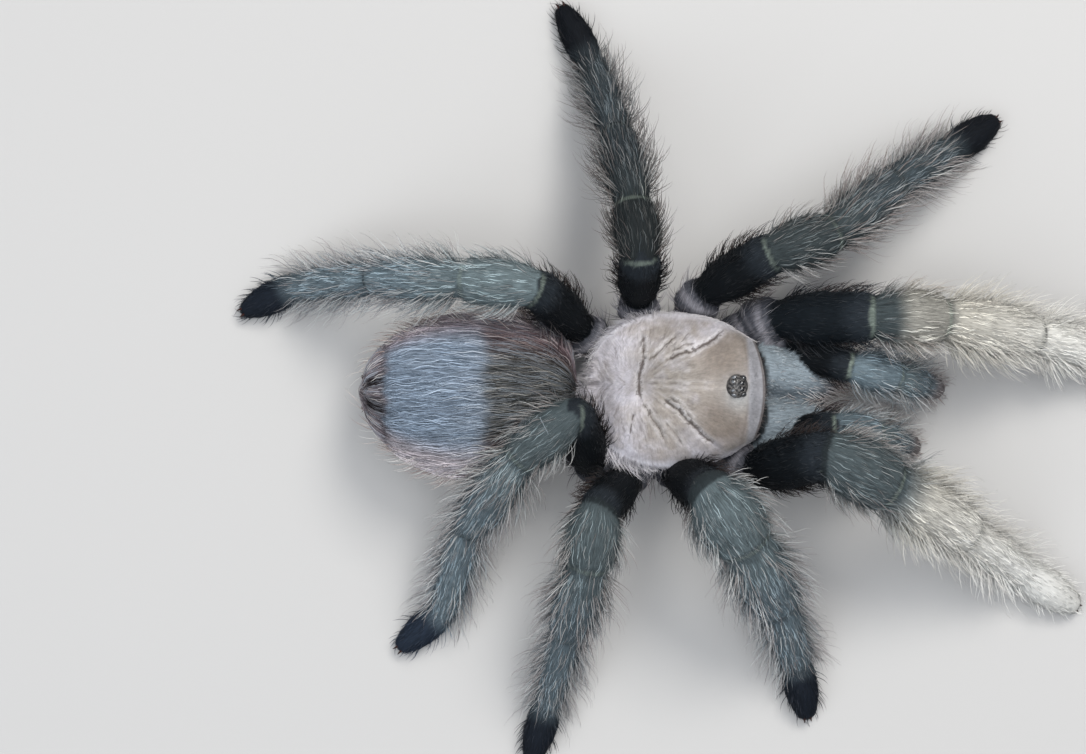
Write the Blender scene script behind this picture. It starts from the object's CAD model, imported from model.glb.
import math

import bpy
import numpy as np
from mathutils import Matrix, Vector


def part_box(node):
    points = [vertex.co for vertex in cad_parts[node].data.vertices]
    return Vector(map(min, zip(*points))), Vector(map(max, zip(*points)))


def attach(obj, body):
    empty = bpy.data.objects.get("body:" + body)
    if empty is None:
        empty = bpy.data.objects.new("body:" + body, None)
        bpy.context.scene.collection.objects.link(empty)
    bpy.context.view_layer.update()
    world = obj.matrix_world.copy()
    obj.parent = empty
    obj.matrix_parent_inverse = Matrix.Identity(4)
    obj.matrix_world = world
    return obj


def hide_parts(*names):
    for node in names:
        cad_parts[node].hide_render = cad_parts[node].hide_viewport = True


# A tarantula at life size, as a still museum model: one skin with a coat of mesh hairs, a carapace
# plate, eyes, fangs and toe claws. Shapes are worked out in millimetres and made in metres.
# +X is ahead of the animal, +Y its left and +Z up.

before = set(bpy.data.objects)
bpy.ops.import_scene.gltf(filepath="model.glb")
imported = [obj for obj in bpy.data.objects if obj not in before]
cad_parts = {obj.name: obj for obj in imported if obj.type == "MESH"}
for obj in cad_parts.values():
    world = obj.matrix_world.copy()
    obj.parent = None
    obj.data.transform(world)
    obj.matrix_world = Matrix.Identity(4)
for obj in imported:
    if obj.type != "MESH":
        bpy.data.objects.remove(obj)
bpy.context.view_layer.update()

MM = 0.001
BODY = "root"


# ------------------------------------------------------------------------------------ the view

MID_Y = -0.4  # the middle line of the trunk
FACE_Y = 0.1  # the middle of the eyes, a little to the left of it
CARAPACE = {"rear": -5.8, "front": 14.2, "half": 8.9, "front_half": 5.7, "rim": 10.2, "floor": 9.4}

# The frame's origin is under the middle of the whole animal; the tables below start at the trunk.
plate_low, plate_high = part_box("carapace")
OFFSET = np.array((
    plate_low.x / MM - CARAPACE["rear"],
    (plate_low.y + plate_high.y) / 2 / MM - MID_Y,
    0.0,
))

IMAGE_WIDTH = 1086
FLOOR_PER_PIXEL = 0.1182  # how much floor one pixel of the image covers
CAMERA_PLACE = np.array((-10.96, 1.13, 320.0)) + OFFSET  # straight above, looking down
SENSOR_WIDTH = 36.0

optics = bpy.data.cameras.new("camera")
optics.sensor_width = SENSOR_WIDTH
optics.lens = SENSOR_WIDTH * CAMERA_PLACE[2] / (IMAGE_WIDTH * FLOOR_PER_PIXEL)
optics.clip_start = 0.01
camera = bpy.data.objects.new("camera", optics)
camera.location = CAMERA_PLACE * MM
bpy.context.scene.collection.objects.link(camera)
bpy.context.scene.camera = camera


# ------------------------------------------------------------------------------------ the stance

ABDOMEN = {"rear": -32.4, "front": -6.5, "half": 9.9, "bottom": 1.5, "top": 17.6, "widest": 0.5}
ABDOMEN_COAT = 0.4
ABDOMEN_AXIS = (8.6, 9.4)  # height of its widest line at the rear and in front
ABDOMEN_TAPER = (1.65, 3.8)  # drawn out behind, blunt in front
ABDOMEN_BOW = -0.5  # how far its middle sags to its right
CORE = {"rear": -4.6, "front": 12.6, "height": 7.0, "half": 4.6, "above": 2.6, "below": 3.0}
STALK = {"rear": -8.0, "front": -3.0, "height": 8.2, "radius": 0.9}  # the waist behind the carapace

# The jaws from their base to their tip: half widths, and heights of the axis, the top and the
# underside.
CHELICERA = {"rear": 14.4, "front": 24.0, "half": 3.05, "tip_half": 2.0}
JAW_AXIS, JAW_TOP, JAW_UNDERSIDE = (8.6, 6.2), (12.6, 8.6), (4.6, 4.0)
JAW_START_HEIGHT = 8.8
JAW_GAP = 0.12  # half the gap between them
JAWS_Y = (-1.0, -1.7)  # the jaws are turned a little to its right
JAW_HEEL = 1.8  # how far the jaws reach back under the carapace
CHELICERA_COAT = 0.3

# The spinnerets: where they leave the abdomen, how far they spread and sink, and their joints.
SPINNERET = {"ahead": 3.8, "aside": 1.15, "height": 6.3, "splay": 0.17, "sink": 0.1, "seam": 0.25}
SPINNERET_JOINTS = ((0, 1.35, 0.78), (1.35, 2.6, 0.64), (2.6, 3.7, 0.46))  # from, to and radius

LIMB_PAIRS = {
    "palp": {"lengths": (9.2, 5.8, 6.9, 5.6), "girth": 0.86},
    "leg_1": {"lengths": (13.6, 8.1, 13.3, 11.4, 8.5), "girth": 1.18},
    "leg_2": {"lengths": (12.2, 7.6, 11.4, 10.8, 7.6), "girth": 1.06},
    "leg_3": {"lengths": (10.8, 6.5, 10.8, 12.0, 8.2), "girth": 1.0},
    "leg_4": {"lengths": (13.0, 8.0, 12.4, 13.4, 7.6), "girth": 1.02},
}
# Where the coat is fluffed out, how much thicker that makes a segment.
FLUFF = {
    "leg_right_1": {"patella": 1.14, "tibia": 1.12},
    "leg_right_2": {"patella": 1.36, "tibia": 1.28, "metatarsus": 1.1},
    "leg_right_3": {"patella": 1.14, "tibia": 1.1},
}

# Half thickness of the outline at the start and end of a segment, the extra in its middle, and
# how deep the coat is over the skin there.
SEGMENT_GIRTHS = {
    "coxa": (2.1, 2.45, 0.1, 0.35),
    "trochanter": (2.45, 2.6, 0.1, 0.35),
    "femur": (2.15, 2.4, 0.25, 0.4),
    "patella": (2.4, 2.4, 0.2, 0.3),
    "tibia": (2.35, 2.2, 0.3, 0.42),
    "metatarsus": (2.1, 1.9, 0.15, 0.38),
    "tarsus": (1.85, 1.35, 0.3, 0.3),
}

# How the skin narrows and swells along each segment, as (place along it, factor).
WAISTS = {
    "coxa": ((0, 0.9), (0.5, 1.04), (0.85, 1.0), (1, 0.86)),
    "trochanter": ((0, 0.88), (0.5, 1.04), (1, 0.9)),
    "femur": ((0, 0.74), (0.14, 0.86), (0.45, 1.05), (0.84, 0.98), (0.94, 1.03), (1, 0.9)),
    "patella": ((0, 0.8), (0.14, 0.96), (0.5, 1.06), (0.86, 1.0), (0.95, 1.03), (1, 0.86)),
    "tibia": ((0, 0.8), (0.12, 0.97), (0.5, 1.04), (0.86, 0.98), (0.95, 1.0), (1, 0.84)),
    "metatarsus": ((0, 0.82), (0.1, 0.98), (0.5, 1.0), (0.9, 0.97), (1, 0.88)),
    "tarsus": ((0, 0.84), (0.14, 0.98), (0.6, 1.08), (0.9, 1.06), (1, 0.98)),
}
TROCHANTER_FROM = 0.66  # how far along the hip stretch the coxa ends and the trochanter starts
SKIN_WIDTH = 1.1  # the limbs are a little wider than high

COXA_ROOT_HEIGHT = 6.2
HIP_HEIGHT = {"palp": 7.0, "leg": 8.0}
ANKLE_CLEARANCE = 0.2
SOLE_DEPTH = 0.35

# Where each limb leaves the sternum and where its hip is, ahead and to the left, then which way each
# segment heads and how steeply all but the last two rise, in degrees. The last two reach the floor.
LIMBS = {
    "palp_left": ((11.5, 3.0), (17.0, 4.6), (-18, -12, -13, -15), (36, -24, -55)),
    "palp_right": ((11.2, -3.6), (15.6, -6.1), (13, -12, -14, -14), (44, -32, -58)),
    "leg_left_1": ((8.5, 3.6), (15.0, 7.9), (0, -1, -9, -12, -11), (34, -12, -28)),
    "leg_left_2": ((4.8, 4.0), (7.1, 10.5), (31, 18, 38, 30, 33), (44, -16, -29)),
    "leg_left_3": ((0.6, 4.0), (0.0, 9.8), (91, 97, 101, 108, 117), (65, -18, -35)),
    "leg_left_4": ((-2.4, 3.2), (-6.2, 6.3), (139, 174, 178, -176, -155), (55, -8, -30)),
    "leg_right_1": ((8.2, -4.4), (12.4, -9.8), (15, -27, -31, -33, -32), (49, -16, -31)),
    "leg_right_2": ((4.6, -4.8), (4.2, -9.9), (-26, -55, -60, -70, -78), (72, -21, -39)),
    "leg_right_3": ((0.6, -4.6), (-0.9, -10.5), (-141, -100, -105, -104, -106), (62, -10, -38)),
    "leg_right_4": ((-2.4, -3.8), (-5.2, -9.4), (110, -141, -125, -107, -140), (58, -14, -33)),
}
SEGMENTS = {
    "palp": ("femur", "patella", "tibia", "tarsus"),
    "leg": ("femur", "patella", "tibia", "metatarsus", "tarsus"),
}


def mix(a, b, t):
    """A at t 0 and b at t 1."""
    return a + (b - a) * t


def smooth(x, low, high):
    """0 at low and 1 at high, easing in and out between them and level beyond them."""
    t = np.clip((x - low) / (high - low), 0, 1)
    return t * t * (3 - 2 * t)


def fade(x, low, high):
    """1 at low and 0 at high."""
    return 1 - smooth(x, low, high)


def bell(x, middle, width):
    """1 at the middle, falling off evenly to both sides."""
    return np.exp(-((x - middle) / width) ** 2)


def unit(vector):
    """The way a vector points, at length 1."""
    return vector / np.linalg.norm(vector)


def unit_rows(rows, least=1e-6):
    """Each row at length 1, and rows shorter than least shorter."""
    return rows / np.maximum(np.linalg.norm(rows, axis=1, keepdims=True), least)


def full_turn(sides):
    """Angles spread evenly over a full turn."""
    return 2 * math.pi * np.arange(sides) / sides


def is_palp(limb):
    return limb.startswith("palp")


def pair_of(limb):
    """The pair a limb belongs to, a name in LIMB_PAIRS."""
    return "palp" if is_palp(limb) else "leg_" + limb[-1]


def joints_of(limb):
    """The joints of a limb from its root at the sternum to its toe."""
    root, hip, headings, rises = LIMBS[limb]
    pair = LIMB_PAIRS[pair_of(limb)]
    tarsus_start, tarsus_end = SEGMENT_GIRTHS["tarsus"][:2]
    toe_radius = tarsus_end * pair["girth"]
    ankle_height = tarsus_start * pair["girth"] + ANKLE_CLEARANCE
    joints = [
        np.array((*root, COXA_ROOT_HEIGHT)),
        np.array((*hip, HIP_HEIGHT[limb.split("_")[0]])),
    ]
    last = len(pair["lengths"]) - 1
    for i, length in enumerate(pair["lengths"]):
        height = joints[-1][2]
        if i == last:
            rise = math.asin((toe_radius - SOLE_DEPTH - height) / (length - toe_radius))
        elif i < len(rises):
            rise = math.radians(rises[i])
        else:
            rise = math.asin((ankle_height - height) / length)
        heading = math.radians(headings[i])
        step = (
            math.cos(rise) * math.cos(heading),
            math.cos(rise) * math.sin(heading),
            math.sin(rise),
        )
        joints.append(joints[-1] + length * np.array(step))
    return joints


# ------------------------------------------------------------------------------------ bones

FAR_FROM_SEAM = 9.0


class Bone:
    """One length of the body: a straight axis with a rounded section that changes along it.

    section(t) gives the half width, the height over the axis and the depth under it at t, 0 at the
    start and 1 at the end. cap rounds the ends off, as a share of the half width there. bow moves
    the middle of the bone to its left."""

    def __init__(self, kind, limb, start, end, section, cap=0.9, bow=0.0):
        self.kind = kind
        self.limb = limb
        self.start = np.array(start, float) + OFFSET
        axis = np.array(end, float) + OFFSET - self.start
        self.length = np.linalg.norm(axis)
        self.along = axis / self.length
        self.across = unit(np.cross((0, 0, 1), self.along))
        self.over = np.cross(self.along, self.across)
        self.section = section
        self.cap = cap
        self.bow = bow
        self.next = self.last = None

    def rings(self, sides=28, steps=22):
        """Rings of points round the bone from its start to its end, with its rounded caps."""
        stations = [(t, 0.0, 1.0) for t in np.linspace(0, 1, steps)]
        if self.cap:
            knob = np.radians((80, 60, 40, 20))
            stations = [(0, -math.sin(a), math.cos(a)) for a in knob] + stations
            stations += [(1, math.sin(a), math.cos(a)) for a in knob[::-1]]
        turns = full_turn(sides)
        rings = []
        for t, past, scale in stations:
            wide, above, below = (float(value) for value in self.section(np.array(t)))
            middle = self.start + self.along * (t * self.length + past * self.cap * above)
            middle = middle + self.across * self.bow * math.sin(math.pi * t)
            high = np.where(np.cos(turns) > 0, above, below) * scale
            aside = np.outer(np.sin(turns) * wide * scale, self.across)
            rings.append(middle + aside + np.outer(np.cos(turns) * high, self.over))
        return np.array(rings)

    def locate(self, points):
        """Place along the bone, turn round it (0 over it, positive to its left) and closeness to it."""
        away = points - self.start
        t = away @ self.along / self.length
        inside = np.clip(t, 0, 1)
        wide, above, below = self.section(inside)
        aside = (away @ self.across - self.bow * np.sin(math.pi * inside)) / wide
        up = away @ self.over
        up = up / np.where(up > 0, above, below)
        past = np.abs(t - inside) * self.length / np.maximum(wide, 0.5)
        return t, np.arctan2(aside, up), np.hypot(aside, up) + past

    def seams(self, points):
        """How many millimetres points are from the seams with the next bone and the one before."""
        far = np.full(len(points), FAR_FROM_SEAM)
        to_next = far if self.next is None else (self.next[0] - points) @ self.next[1]
        to_last = far if self.last is None else (points - self.last[0]) @ self.last[1]
        return to_next, to_last


def join_bones(first, second):
    """Sets the seam between two bones that meet, a plane that halves the bend there."""
    seam = second.start, unit(first.along + second.along)
    first.next = second.last = seam


def tube_mesh(rings):
    """Vertices and faces of a closed tube through rings of points, with a pole at each end."""
    count, sides, _ = rings.shape
    points = np.vstack((rings[0].mean(0), rings.reshape(-1, 3), rings[-1].mean(0)))
    last = len(points) - 1
    faces = []
    for i in range(sides):
        j = (i + 1) % sides
        faces.append((0, 1 + i, 1 + j))
        faces.append((last, last - sides + j, last - sides + i))
        for ring in range(count - 1):
            low = 1 + ring * sides
            high = low + sides
            faces.append((low + i, high + i, high + j, low + j))
    return points, faces


def joined(parts):
    """Several meshes, each as points and faces, as one."""
    points, faces = [], []
    base = 0
    for own_points, own_faces in parts:
        points.append(own_points)
        faces.extend(tuple(base + corner for corner in face) for face in own_faces)
        base += len(own_points)
    return np.vstack(points), faces


def limb_section(segment, girth):
    """The section of the skin along one segment of a limb."""
    start, end, swell, coat = SEGMENT_GIRTHS[segment]
    places, factors = zip(*WAISTS[segment])

    def section(t):
        radius = (mix(start, end, t) + swell * np.sin(math.pi * t)) * girth - coat
        radius = radius * np.interp(t, places, factors)
        return radius * SKIN_WIDTH, radius, radius

    return section


def limb_bones(limb):
    joints = joints_of(limb)
    girth = LIMB_PAIRS[pair_of(limb)]["girth"]
    waist = mix(joints[0], joints[1], TROCHANTER_FROM)
    bones = [
        Bone("coxa", limb, joints[0], waist, limb_section("coxa", girth)),
        Bone("trochanter", limb, waist, joints[1], limb_section("trochanter", girth)),
    ]
    for i, segment in enumerate(SEGMENTS[limb.split("_")[0]]):
        start, end = joints[i + 1], joints[i + 2]
        if segment == "tarsus":
            end = end - unit(end - start) * SEGMENT_GIRTHS["tarsus"][1] * girth
        fullness = girth * FLUFF.get(limb, {}).get(segment, 1)
        bones.append(Bone(segment, limb, start, end, limb_section(segment, fullness)))
    for first, second in zip(bones, bones[1:]):
        join_bones(first, second)
    return bones


def abdomen_section(t):
    widest = ABDOMEN["widest"]
    behind = np.maximum(0, (widest - t) / widest) ** ABDOMEN_TAPER[0]
    ahead = np.maximum(0, (t - widest) / (1 - widest)) ** ABDOMEN_TAPER[1]
    roundness = np.sqrt(np.maximum(0.0025, 1 - behind - ahead))
    waist = mix(*ABDOMEN_AXIS, t)
    return (
        (ABDOMEN["half"] - ABDOMEN_COAT) * roundness,
        (ABDOMEN["top"] - ABDOMEN_COAT - waist) * roundness,
        (waist - ABDOMEN["bottom"] - ABDOMEN_COAT * 0.6) * roundness,
    )


def core_section(t):
    roundness = np.maximum(0.3, np.sqrt(np.maximum(0, 1 - (2 * t - 1) ** 4)))
    return CORE["half"] * roundness, CORE["above"] * roundness, CORE["below"] * roundness


def round_section(radius, taper=0.0):
    """A round section whose radius shrinks by the share taper towards the end."""
    return lambda t: (radius * (1 - taper * t),) * 3


def chelicera_section(t):
    heel = np.sqrt(np.maximum(0.2, 1 - smooth(-t, -0.12, 0.06) ** 2))
    t = np.maximum(0, mix(-JAW_HEEL / (CHELICERA["front"] - CHELICERA["rear"]), 1, t))
    nose = np.sqrt(np.maximum(0.03, 1 - smooth(t, 0.62, 1.05) ** 2))
    half = mix(CHELICERA["half"], CHELICERA["tip_half"], t ** 1.4)
    waist = mix(*JAW_AXIS, t)
    above = mix(*JAW_TOP, t ** 1.3) - waist
    below = waist - mix(*JAW_UNDERSIDE, t)
    return (
        (half - CHELICERA_COAT * 0.6) * nose * heel,
        (above - CHELICERA_COAT) * nose * heel,
        (below - CHELICERA_COAT) * nose * heel,
    )


def trunk_bones():
    """The abdomen, the core under the carapace, the stalk between them, the jaws and spinnerets."""
    middle = MID_Y - 0.2
    found = [
        Bone("abdomen", "trunk", (ABDOMEN["rear"] + 0.3, middle, ABDOMEN_AXIS[0]),
             (ABDOMEN["front"] - 0.3, middle, ABDOMEN_AXIS[1]), abdomen_section, cap=0, bow=ABDOMEN_BOW),
    ]
    for kind, sizes, section in (
        ("core", CORE, core_section),
        ("stalk", STALK, round_section(STALK["radius"])),
    ):
        start, end = ((sizes[where], MID_Y, sizes["height"]) for where in ("rear", "front"))
        found.append(Bone(kind, "trunk", start, end, section, cap=0))
    for side in (-1, 1):
        wide, narrow = CHELICERA["half"] + JAW_GAP, CHELICERA["tip_half"] + JAW_GAP
        found.append(Bone(
            "chelicera", "jaw_left" if side > 0 else "jaw_right",
            (CHELICERA["rear"] - JAW_HEEL, JAWS_Y[0] + side * wide, JAW_START_HEIGHT),
            (CHELICERA["front"] - 0.4, JAWS_Y[1] + side * narrow, JAW_AXIS[1]), chelicera_section, cap=0,
        ))
        root = np.array((
            ABDOMEN["rear"] + SPINNERET["ahead"], middle + side * SPINNERET["aside"], SPINNERET["height"],
        ))
        splay = SPINNERET["splay"]
        way = np.array((-math.cos(splay), side * math.sin(splay), -SPINNERET["sink"]))
        for start, end, radius in SPINNERET_JOINTS:
            end = end - SPINNERET["seam"]
            found.append(Bone("spinneret", "trunk", root + way * start, root + way * end,
                              round_section(radius, 0.16), cap=0.6))
    return found


bones = trunk_bones()
for limb in LIMBS:
    bones.extend(limb_bones(limb))


# ------------------------------------------------------------------------------------ skin

VOXEL = 0.00037  # the size of the cubes the skin is joined from, in metres
SKIN_SMOOTHING = 3
SOLE_HEIGHT = 0.00002


def new_object(name, mesh):
    made = bpy.data.objects.new(name, mesh)
    bpy.context.scene.collection.objects.link(made)
    return made


def mesh_of(name, points, faces):
    """A mesh in metres from points in millimetres."""
    mesh = bpy.data.meshes.new(name)
    mesh.from_pydata([tuple(point) for point in np.asarray(points) * MM], [], faces)
    mesh.validate()
    return mesh


def applied(worker, name):
    """The worker's shape with its modifiers applied, as a plain object; the worker is removed."""
    graph = bpy.context.evaluated_depsgraph_get()
    mesh = bpy.data.meshes.new_from_object(worker.evaluated_get(graph))
    old = worker.data
    bpy.data.objects.remove(worker)
    bpy.data.meshes.remove(old)
    mesh.name = name
    return new_object(name, mesh)


def smooth_piece(name, points, faces, finish):
    """A smooth piece with a finish, from points in millimetres."""
    mesh = mesh_of(name, points, faces)
    for face in mesh.polygons:
        face.use_smooth = True
    mesh.materials.append(finish)
    return new_object(name, mesh)


def make_skin():
    """One closed skin over all the bones, with their joins eased."""
    worker = new_object("flesh", mesh_of("flesh", *joined(tube_mesh(bone.rings()) for bone in bones)))
    join = worker.modifiers.new("join", "REMESH")
    join.mode = "VOXEL"
    join.voxel_size = VOXEL
    join.use_smooth_shade = True
    ease = worker.modifiers.new("ease", "SMOOTH")
    ease.factor = 0.5
    ease.iterations = SKIN_SMOOTHING
    made = applied(worker, "skin")
    for vertex in made.data.vertices:
        vertex.co.z = max(vertex.co.z, SOLE_HEIGHT)
    return made


def points_of(mesh):
    """The points of a mesh in millimetres."""
    flat = np.empty(len(mesh.vertices) * 3, np.float32)
    mesh.vertices.foreach_get("co", flat)
    return flat.reshape(-1, 3).astype(float) / MM


def corners_of(mesh):
    """The point of each corner of a mesh's faces, the face of each, and how many each face has."""
    corner_point = np.empty(len(mesh.loops), int)
    mesh.loops.foreach_get("vertex_index", corner_point)
    totals = np.empty(len(mesh.polygons), int)
    mesh.polygons.foreach_get("loop_total", totals)
    return corner_point, np.repeat(np.arange(len(totals)), totals), totals


def store(mesh, name, values, kind="FLOAT", domain="POINT"):
    """Writes values onto a mesh as the attribute of that name."""
    field = {"FLOAT": "value", "FLOAT_VECTOR": "vector", "FLOAT_COLOR": "color", "FLOAT2": "vector"}[kind]
    attribute = mesh.attributes.new(name, kind, domain)
    attribute.data.foreach_set(field, np.ascontiguousarray(values, np.float32).ravel())


def nearest_bones(points):
    """For each point the bone it lies on, the place along that bone and the turn round it."""
    located = np.array([bone.locate(points) for bone in bones])
    which = located[:, 2].argmin(0)
    each = np.arange(len(points))
    return which, located[which, 0, each], located[which, 1, each]


# ------------------------------------------------------------------------------------ markings

PAINT = 0.77  # the lights are strong, so colours are laid on darker by this, the whitest by more


def shade(text, gain=PAINT):
    """A colour written as rrggbb, as the linear red, green and blue that materials use."""
    values = np.array([int(text[i:i + 2], 16) for i in (0, 2, 4)]) / 255
    linear = np.where(values <= 0.04045, values / 12.92, ((values + 0.055) / 1.055) ** 2.4)
    return linear * gain


SLATE = shade("72828a")
DEEP_SLATE = shade("4d565f")
INK = shade("0e1419")
NAVY = shade("1a222d")
CREAM = shade("efeadc", 0.54)
BONE_WHITE = shade("f6f7f4", 0.7)
LILAC = shade("5a5c64")
RING_GREEN = shade("93a095")
DUN = shade("755c50")
SKY_GREY = shade("798898")
OLIVE = shade("363836")
RED_BROWN = shade("4c3236")
ROSE_GREY = shade("857a80")
PINK_MIST = shade("aea6aa")
MIST = shade("a3b1ba")
BLUSH = shade("8d817f")

# How light each limb's slate is at the knee and at the foot; the third leg on the left is darkest.
LEG_TONES = {
    "palp_left": (1.35, 1.4), "palp_right": (0.95, 1.0),
    "leg_left_1": (0.45, 0.8), "leg_right_1": (0.6, 0.75),
    "leg_left_2": (0.34, 0.45), "leg_right_2": (0.92, 0.9),
    "leg_left_3": (0.13, 0.34), "leg_right_3": (0.65, 0.85),
    "leg_left_4": (1.2, 1.1), "leg_right_4": (0.64, 1.15),
}
FEMUR_TONES = {"leg_left_1": 1.9, "leg_right_1": 1.4}  # the front thighs are a little lighter
MOSS = shade("6c797a")  # the knees are a little greener than the rest of a leg
HIP = ("coxa", "trochanter")
KNEE = ("femur", "patella", "tibia")
OUTER = ("patella", "tibia", "metatarsus", "tarsus")
HAIRY = OUTER[:3]  # the segments with long hairs
# How far the front legs turn to cream, and from where to where along each segment it comes.
CREAM_SHARE = {
    "leg_left_1": {
        "patella": (0.62, 0.2, 0.5), "tibia": (0.95, -0.1, 0.1),
        "metatarsus": (1, -1, 0), "tarsus": (0.8, -1, 0),
    },
    "leg_right_1": {"tibia": (0.9, 0.0, 0.35), "metatarsus": (1, -1, 0), "tarsus": (0.8, -1, 0)},
}
# How white the cream is at the start and end of a segment.
WHITENESS = {"patella": (0, 0), "tibia": (0, 0.45), "metatarsus": (0.5, 0.8), "tarsus": (0.75, 0.6)}
RINGS = {"femur": 0.55, "patella": 0.4, "tibia": 0.12}  # how clear the pale ring at a segment's end is
FRONT_RING_GAIN = 1.6  # the palps and the front legs have clearer ones
UNDERSIDE = (1.7, 2.6)  # the turn from the top at which a limb's underside starts and is full


def plain(colour, like):
    """The same colour on each of many places."""
    return np.tile(colour, (len(like), 1))


def blend_rows(base, *layers):
    """A base with other colours laid over it in turn, each by its share."""
    for other, share in layers:
        share = np.asarray(share)[..., None]
        base = base * (1 - share) + other * share
    return base


def limb_tint(bone, t, turn, to_next, to_last):
    aside = np.abs(turn)
    under = smooth(aside, *UNDERSIDE)
    tint = plain(SLATE, t)
    if bone.kind in HIP:
        arc = smooth(to_next, -0.3, 0.0) * fade(to_next, 0.4, 0.9)
        arc = np.maximum(arc, 0.6 * smooth(to_last, 0.5, 0.7) * fade(to_last, 0.9, 1.1))
        tint = blend_rows(plain(LILAC, t), (DUN, under * 0.35), (PLATE_LILAC, 0.55 * arc * (1 - under)))
    elif bone.kind == "femur":
        tint = blend_rows(plain(INK, t), (LILAC, 0.7 * fade(t, 0.0, 0.12)))
        tint = blend_rows(
            tint * FEMUR_TONES.get(bone.limb, 1.0),
            (DEEP_SLATE, 0.3 * smooth(t, 0.72, 0.92)),
            (DUN, smooth(aside, 1.5, 2.1) * 0.28 * fade(t, 0.75, 0.9)),
        )
    elif bone.kind == "tarsus" and is_palp(bone.limb):
        tint = blend_rows(tint, (BLUSH, 0.8 * smooth(t, 0.0, 0.6)))
    elif bone.kind == "tarsus":
        foot = NAVY * (1.7 if bone.limb == "leg_right_4" else 1.0)
        tint = blend_rows(tint, (foot, 0.5 + 0.5 * smooth(t, 0.05, 0.4)))
    elif bone.kind == "patella" and not is_palp(bone.limb):
        tint = blend_rows(tint, (MOSS, 0.65))
    elif bone.kind == "tibia":
        tint = blend_rows(tint, (MOSS, 0.5 * fade(t, 0.1, 0.7)))
    if bone.kind in OUTER:
        near, far = LEG_TONES[bone.limb]
        tint = tint * mix(near, far, OUTER.index(bone.kind) / 2.5)
    if bone.kind in CREAM_SHARE.get(bone.limb, ()):
        share, low, high = CREAM_SHARE[bone.limb][bone.kind]
        tint = blend_rows(
            tint,
            (CREAM, share * smooth(t, low, high) * (1 - under * 0.5)),
            (BONE_WHITE, mix(*WHITENESS[bone.kind], np.clip(t, 0, 1))),
        )
    if bone.kind in RINGS:
        strength = RINGS[bone.kind] * (FRONT_RING_GAIN if pair_of(bone.limb) in ("palp", "leg_1") else 1)
        ring = smooth(to_next, -0.2, -0.08) * fade(to_next, 0.22, 0.36)
        tint = blend_rows(tint, (RING_GREEN, strength * ring * fade(aside, 0.9, 1.7)))
    if bone.kind in HAIRY:
        tint = blend_rows(tint, (INK, fade(to_last, 0.15, 0.4) * 0.75))
    return tint


REAR_CAP = 0.14  # how far along the abdomen its dusky pink rear cap reaches
# The two dark hollows of the cap: where they are along the abdomen and round it, and their sizes.
HOLLOW = {"along": 0.085, "aside": 0.3, "length": 0.045, "left": 0.15, "right": 0.2}


def hollows_at(t, turn):
    """1 in the two dark hollows of the rear cap."""
    wide = np.where(turn < 0, HOLLOW["right"], HOLLOW["left"])
    aside = (np.abs(turn) - HOLLOW["aside"]) / wide
    return np.exp(-aside ** 2 - ((t - HOLLOW["along"]) / HOLLOW["length"]) ** 4)


def abdomen_tint(t, turn):
    """Sky grey on its back, dark in front, rosy at its sides and on its rear cap."""
    aside = np.abs(turn)
    flank = np.maximum(smooth(turn, 0.65, 1.1), smooth(-turn, 0.5, 0.95))
    belly = smooth(aside, 1.8, 2.4)
    ragged = t + 0.012 * np.sin(turn * 9.0) + 0.008 * np.sin(turn * 23.0 + 1.0)
    front = smooth(ragged, 0.555, 0.615)
    side = blend_rows(ROSE_GREY, (PINK_MIST, smooth(-turn, -0.3, 0.3)))
    cap = fade(ragged, REAR_CAP - 0.02, REAR_CAP + 0.015)
    return blend_rows(
        plain(SKY_GREY, t),
        (OLIVE, front),
        (RED_BROWN, front * smooth(aside, 0.35, 0.9) * 0.8),
        (side, flank * (1 - 0.55 * front)),
        (ROSE_GREY * 0.6, cap),
        (RED_BROWN * 0.08, np.minimum(1.3 * hollows_at(t, turn), 1) * cap),
        (DEEP_SLATE * 0.8, belly * 0.8),
    )


def jaw_tint(bone, t, turn):
    on_left = bone.limb == "jaw_left"
    outward_turn = turn if on_left else -turn
    tint = blend_rows(
        plain(MIST, t),
        (BLUSH, 0.7 * smooth(t, 0.6, 0.95)),
        (DEEP_SLATE, 0.45 * smooth(-outward_turn, 0.6, 1.4) * smooth(t, 0.2, 0.5)),
    )
    tint = tint * (1.0 if on_left else 0.84)
    # The dark line where the jaw comes out from below the curved front of the carapace.
    outward = 1 + np.sin(outward_turn)
    shore = 1.5 - 1.1 * (outward * CHELICERA["half"] / CARAPACE["front_half"]) ** 2
    return blend_rows(tint, (tint * 0.1, fade(t * bone.length - shore, -0.12, 0.12)))


def tint_of(bone, t, turn, to_next, to_last):
    if bone.limb in LIMBS:
        return limb_tint(bone, t, turn, to_next, to_last)
    if bone.kind == "abdomen":
        return abdomen_tint(t, turn)
    if bone.kind == "chelicera":
        return jaw_tint(bone, t, turn)
    return plain(RED_BROWN if bone.kind == "spinneret" else LILAC * 0.5, t)


# How pale the hair of each kind of bone turns towards its tips, 0.8 where none is given.
PALENESS = {
    "chelicera": 1.1, "femur": 0.07, "coxa": 0.4, "trochanter": 0.4, "tarsus": 0.04,
    "spinneret": 0.4, "core": 0.2,
}

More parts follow.
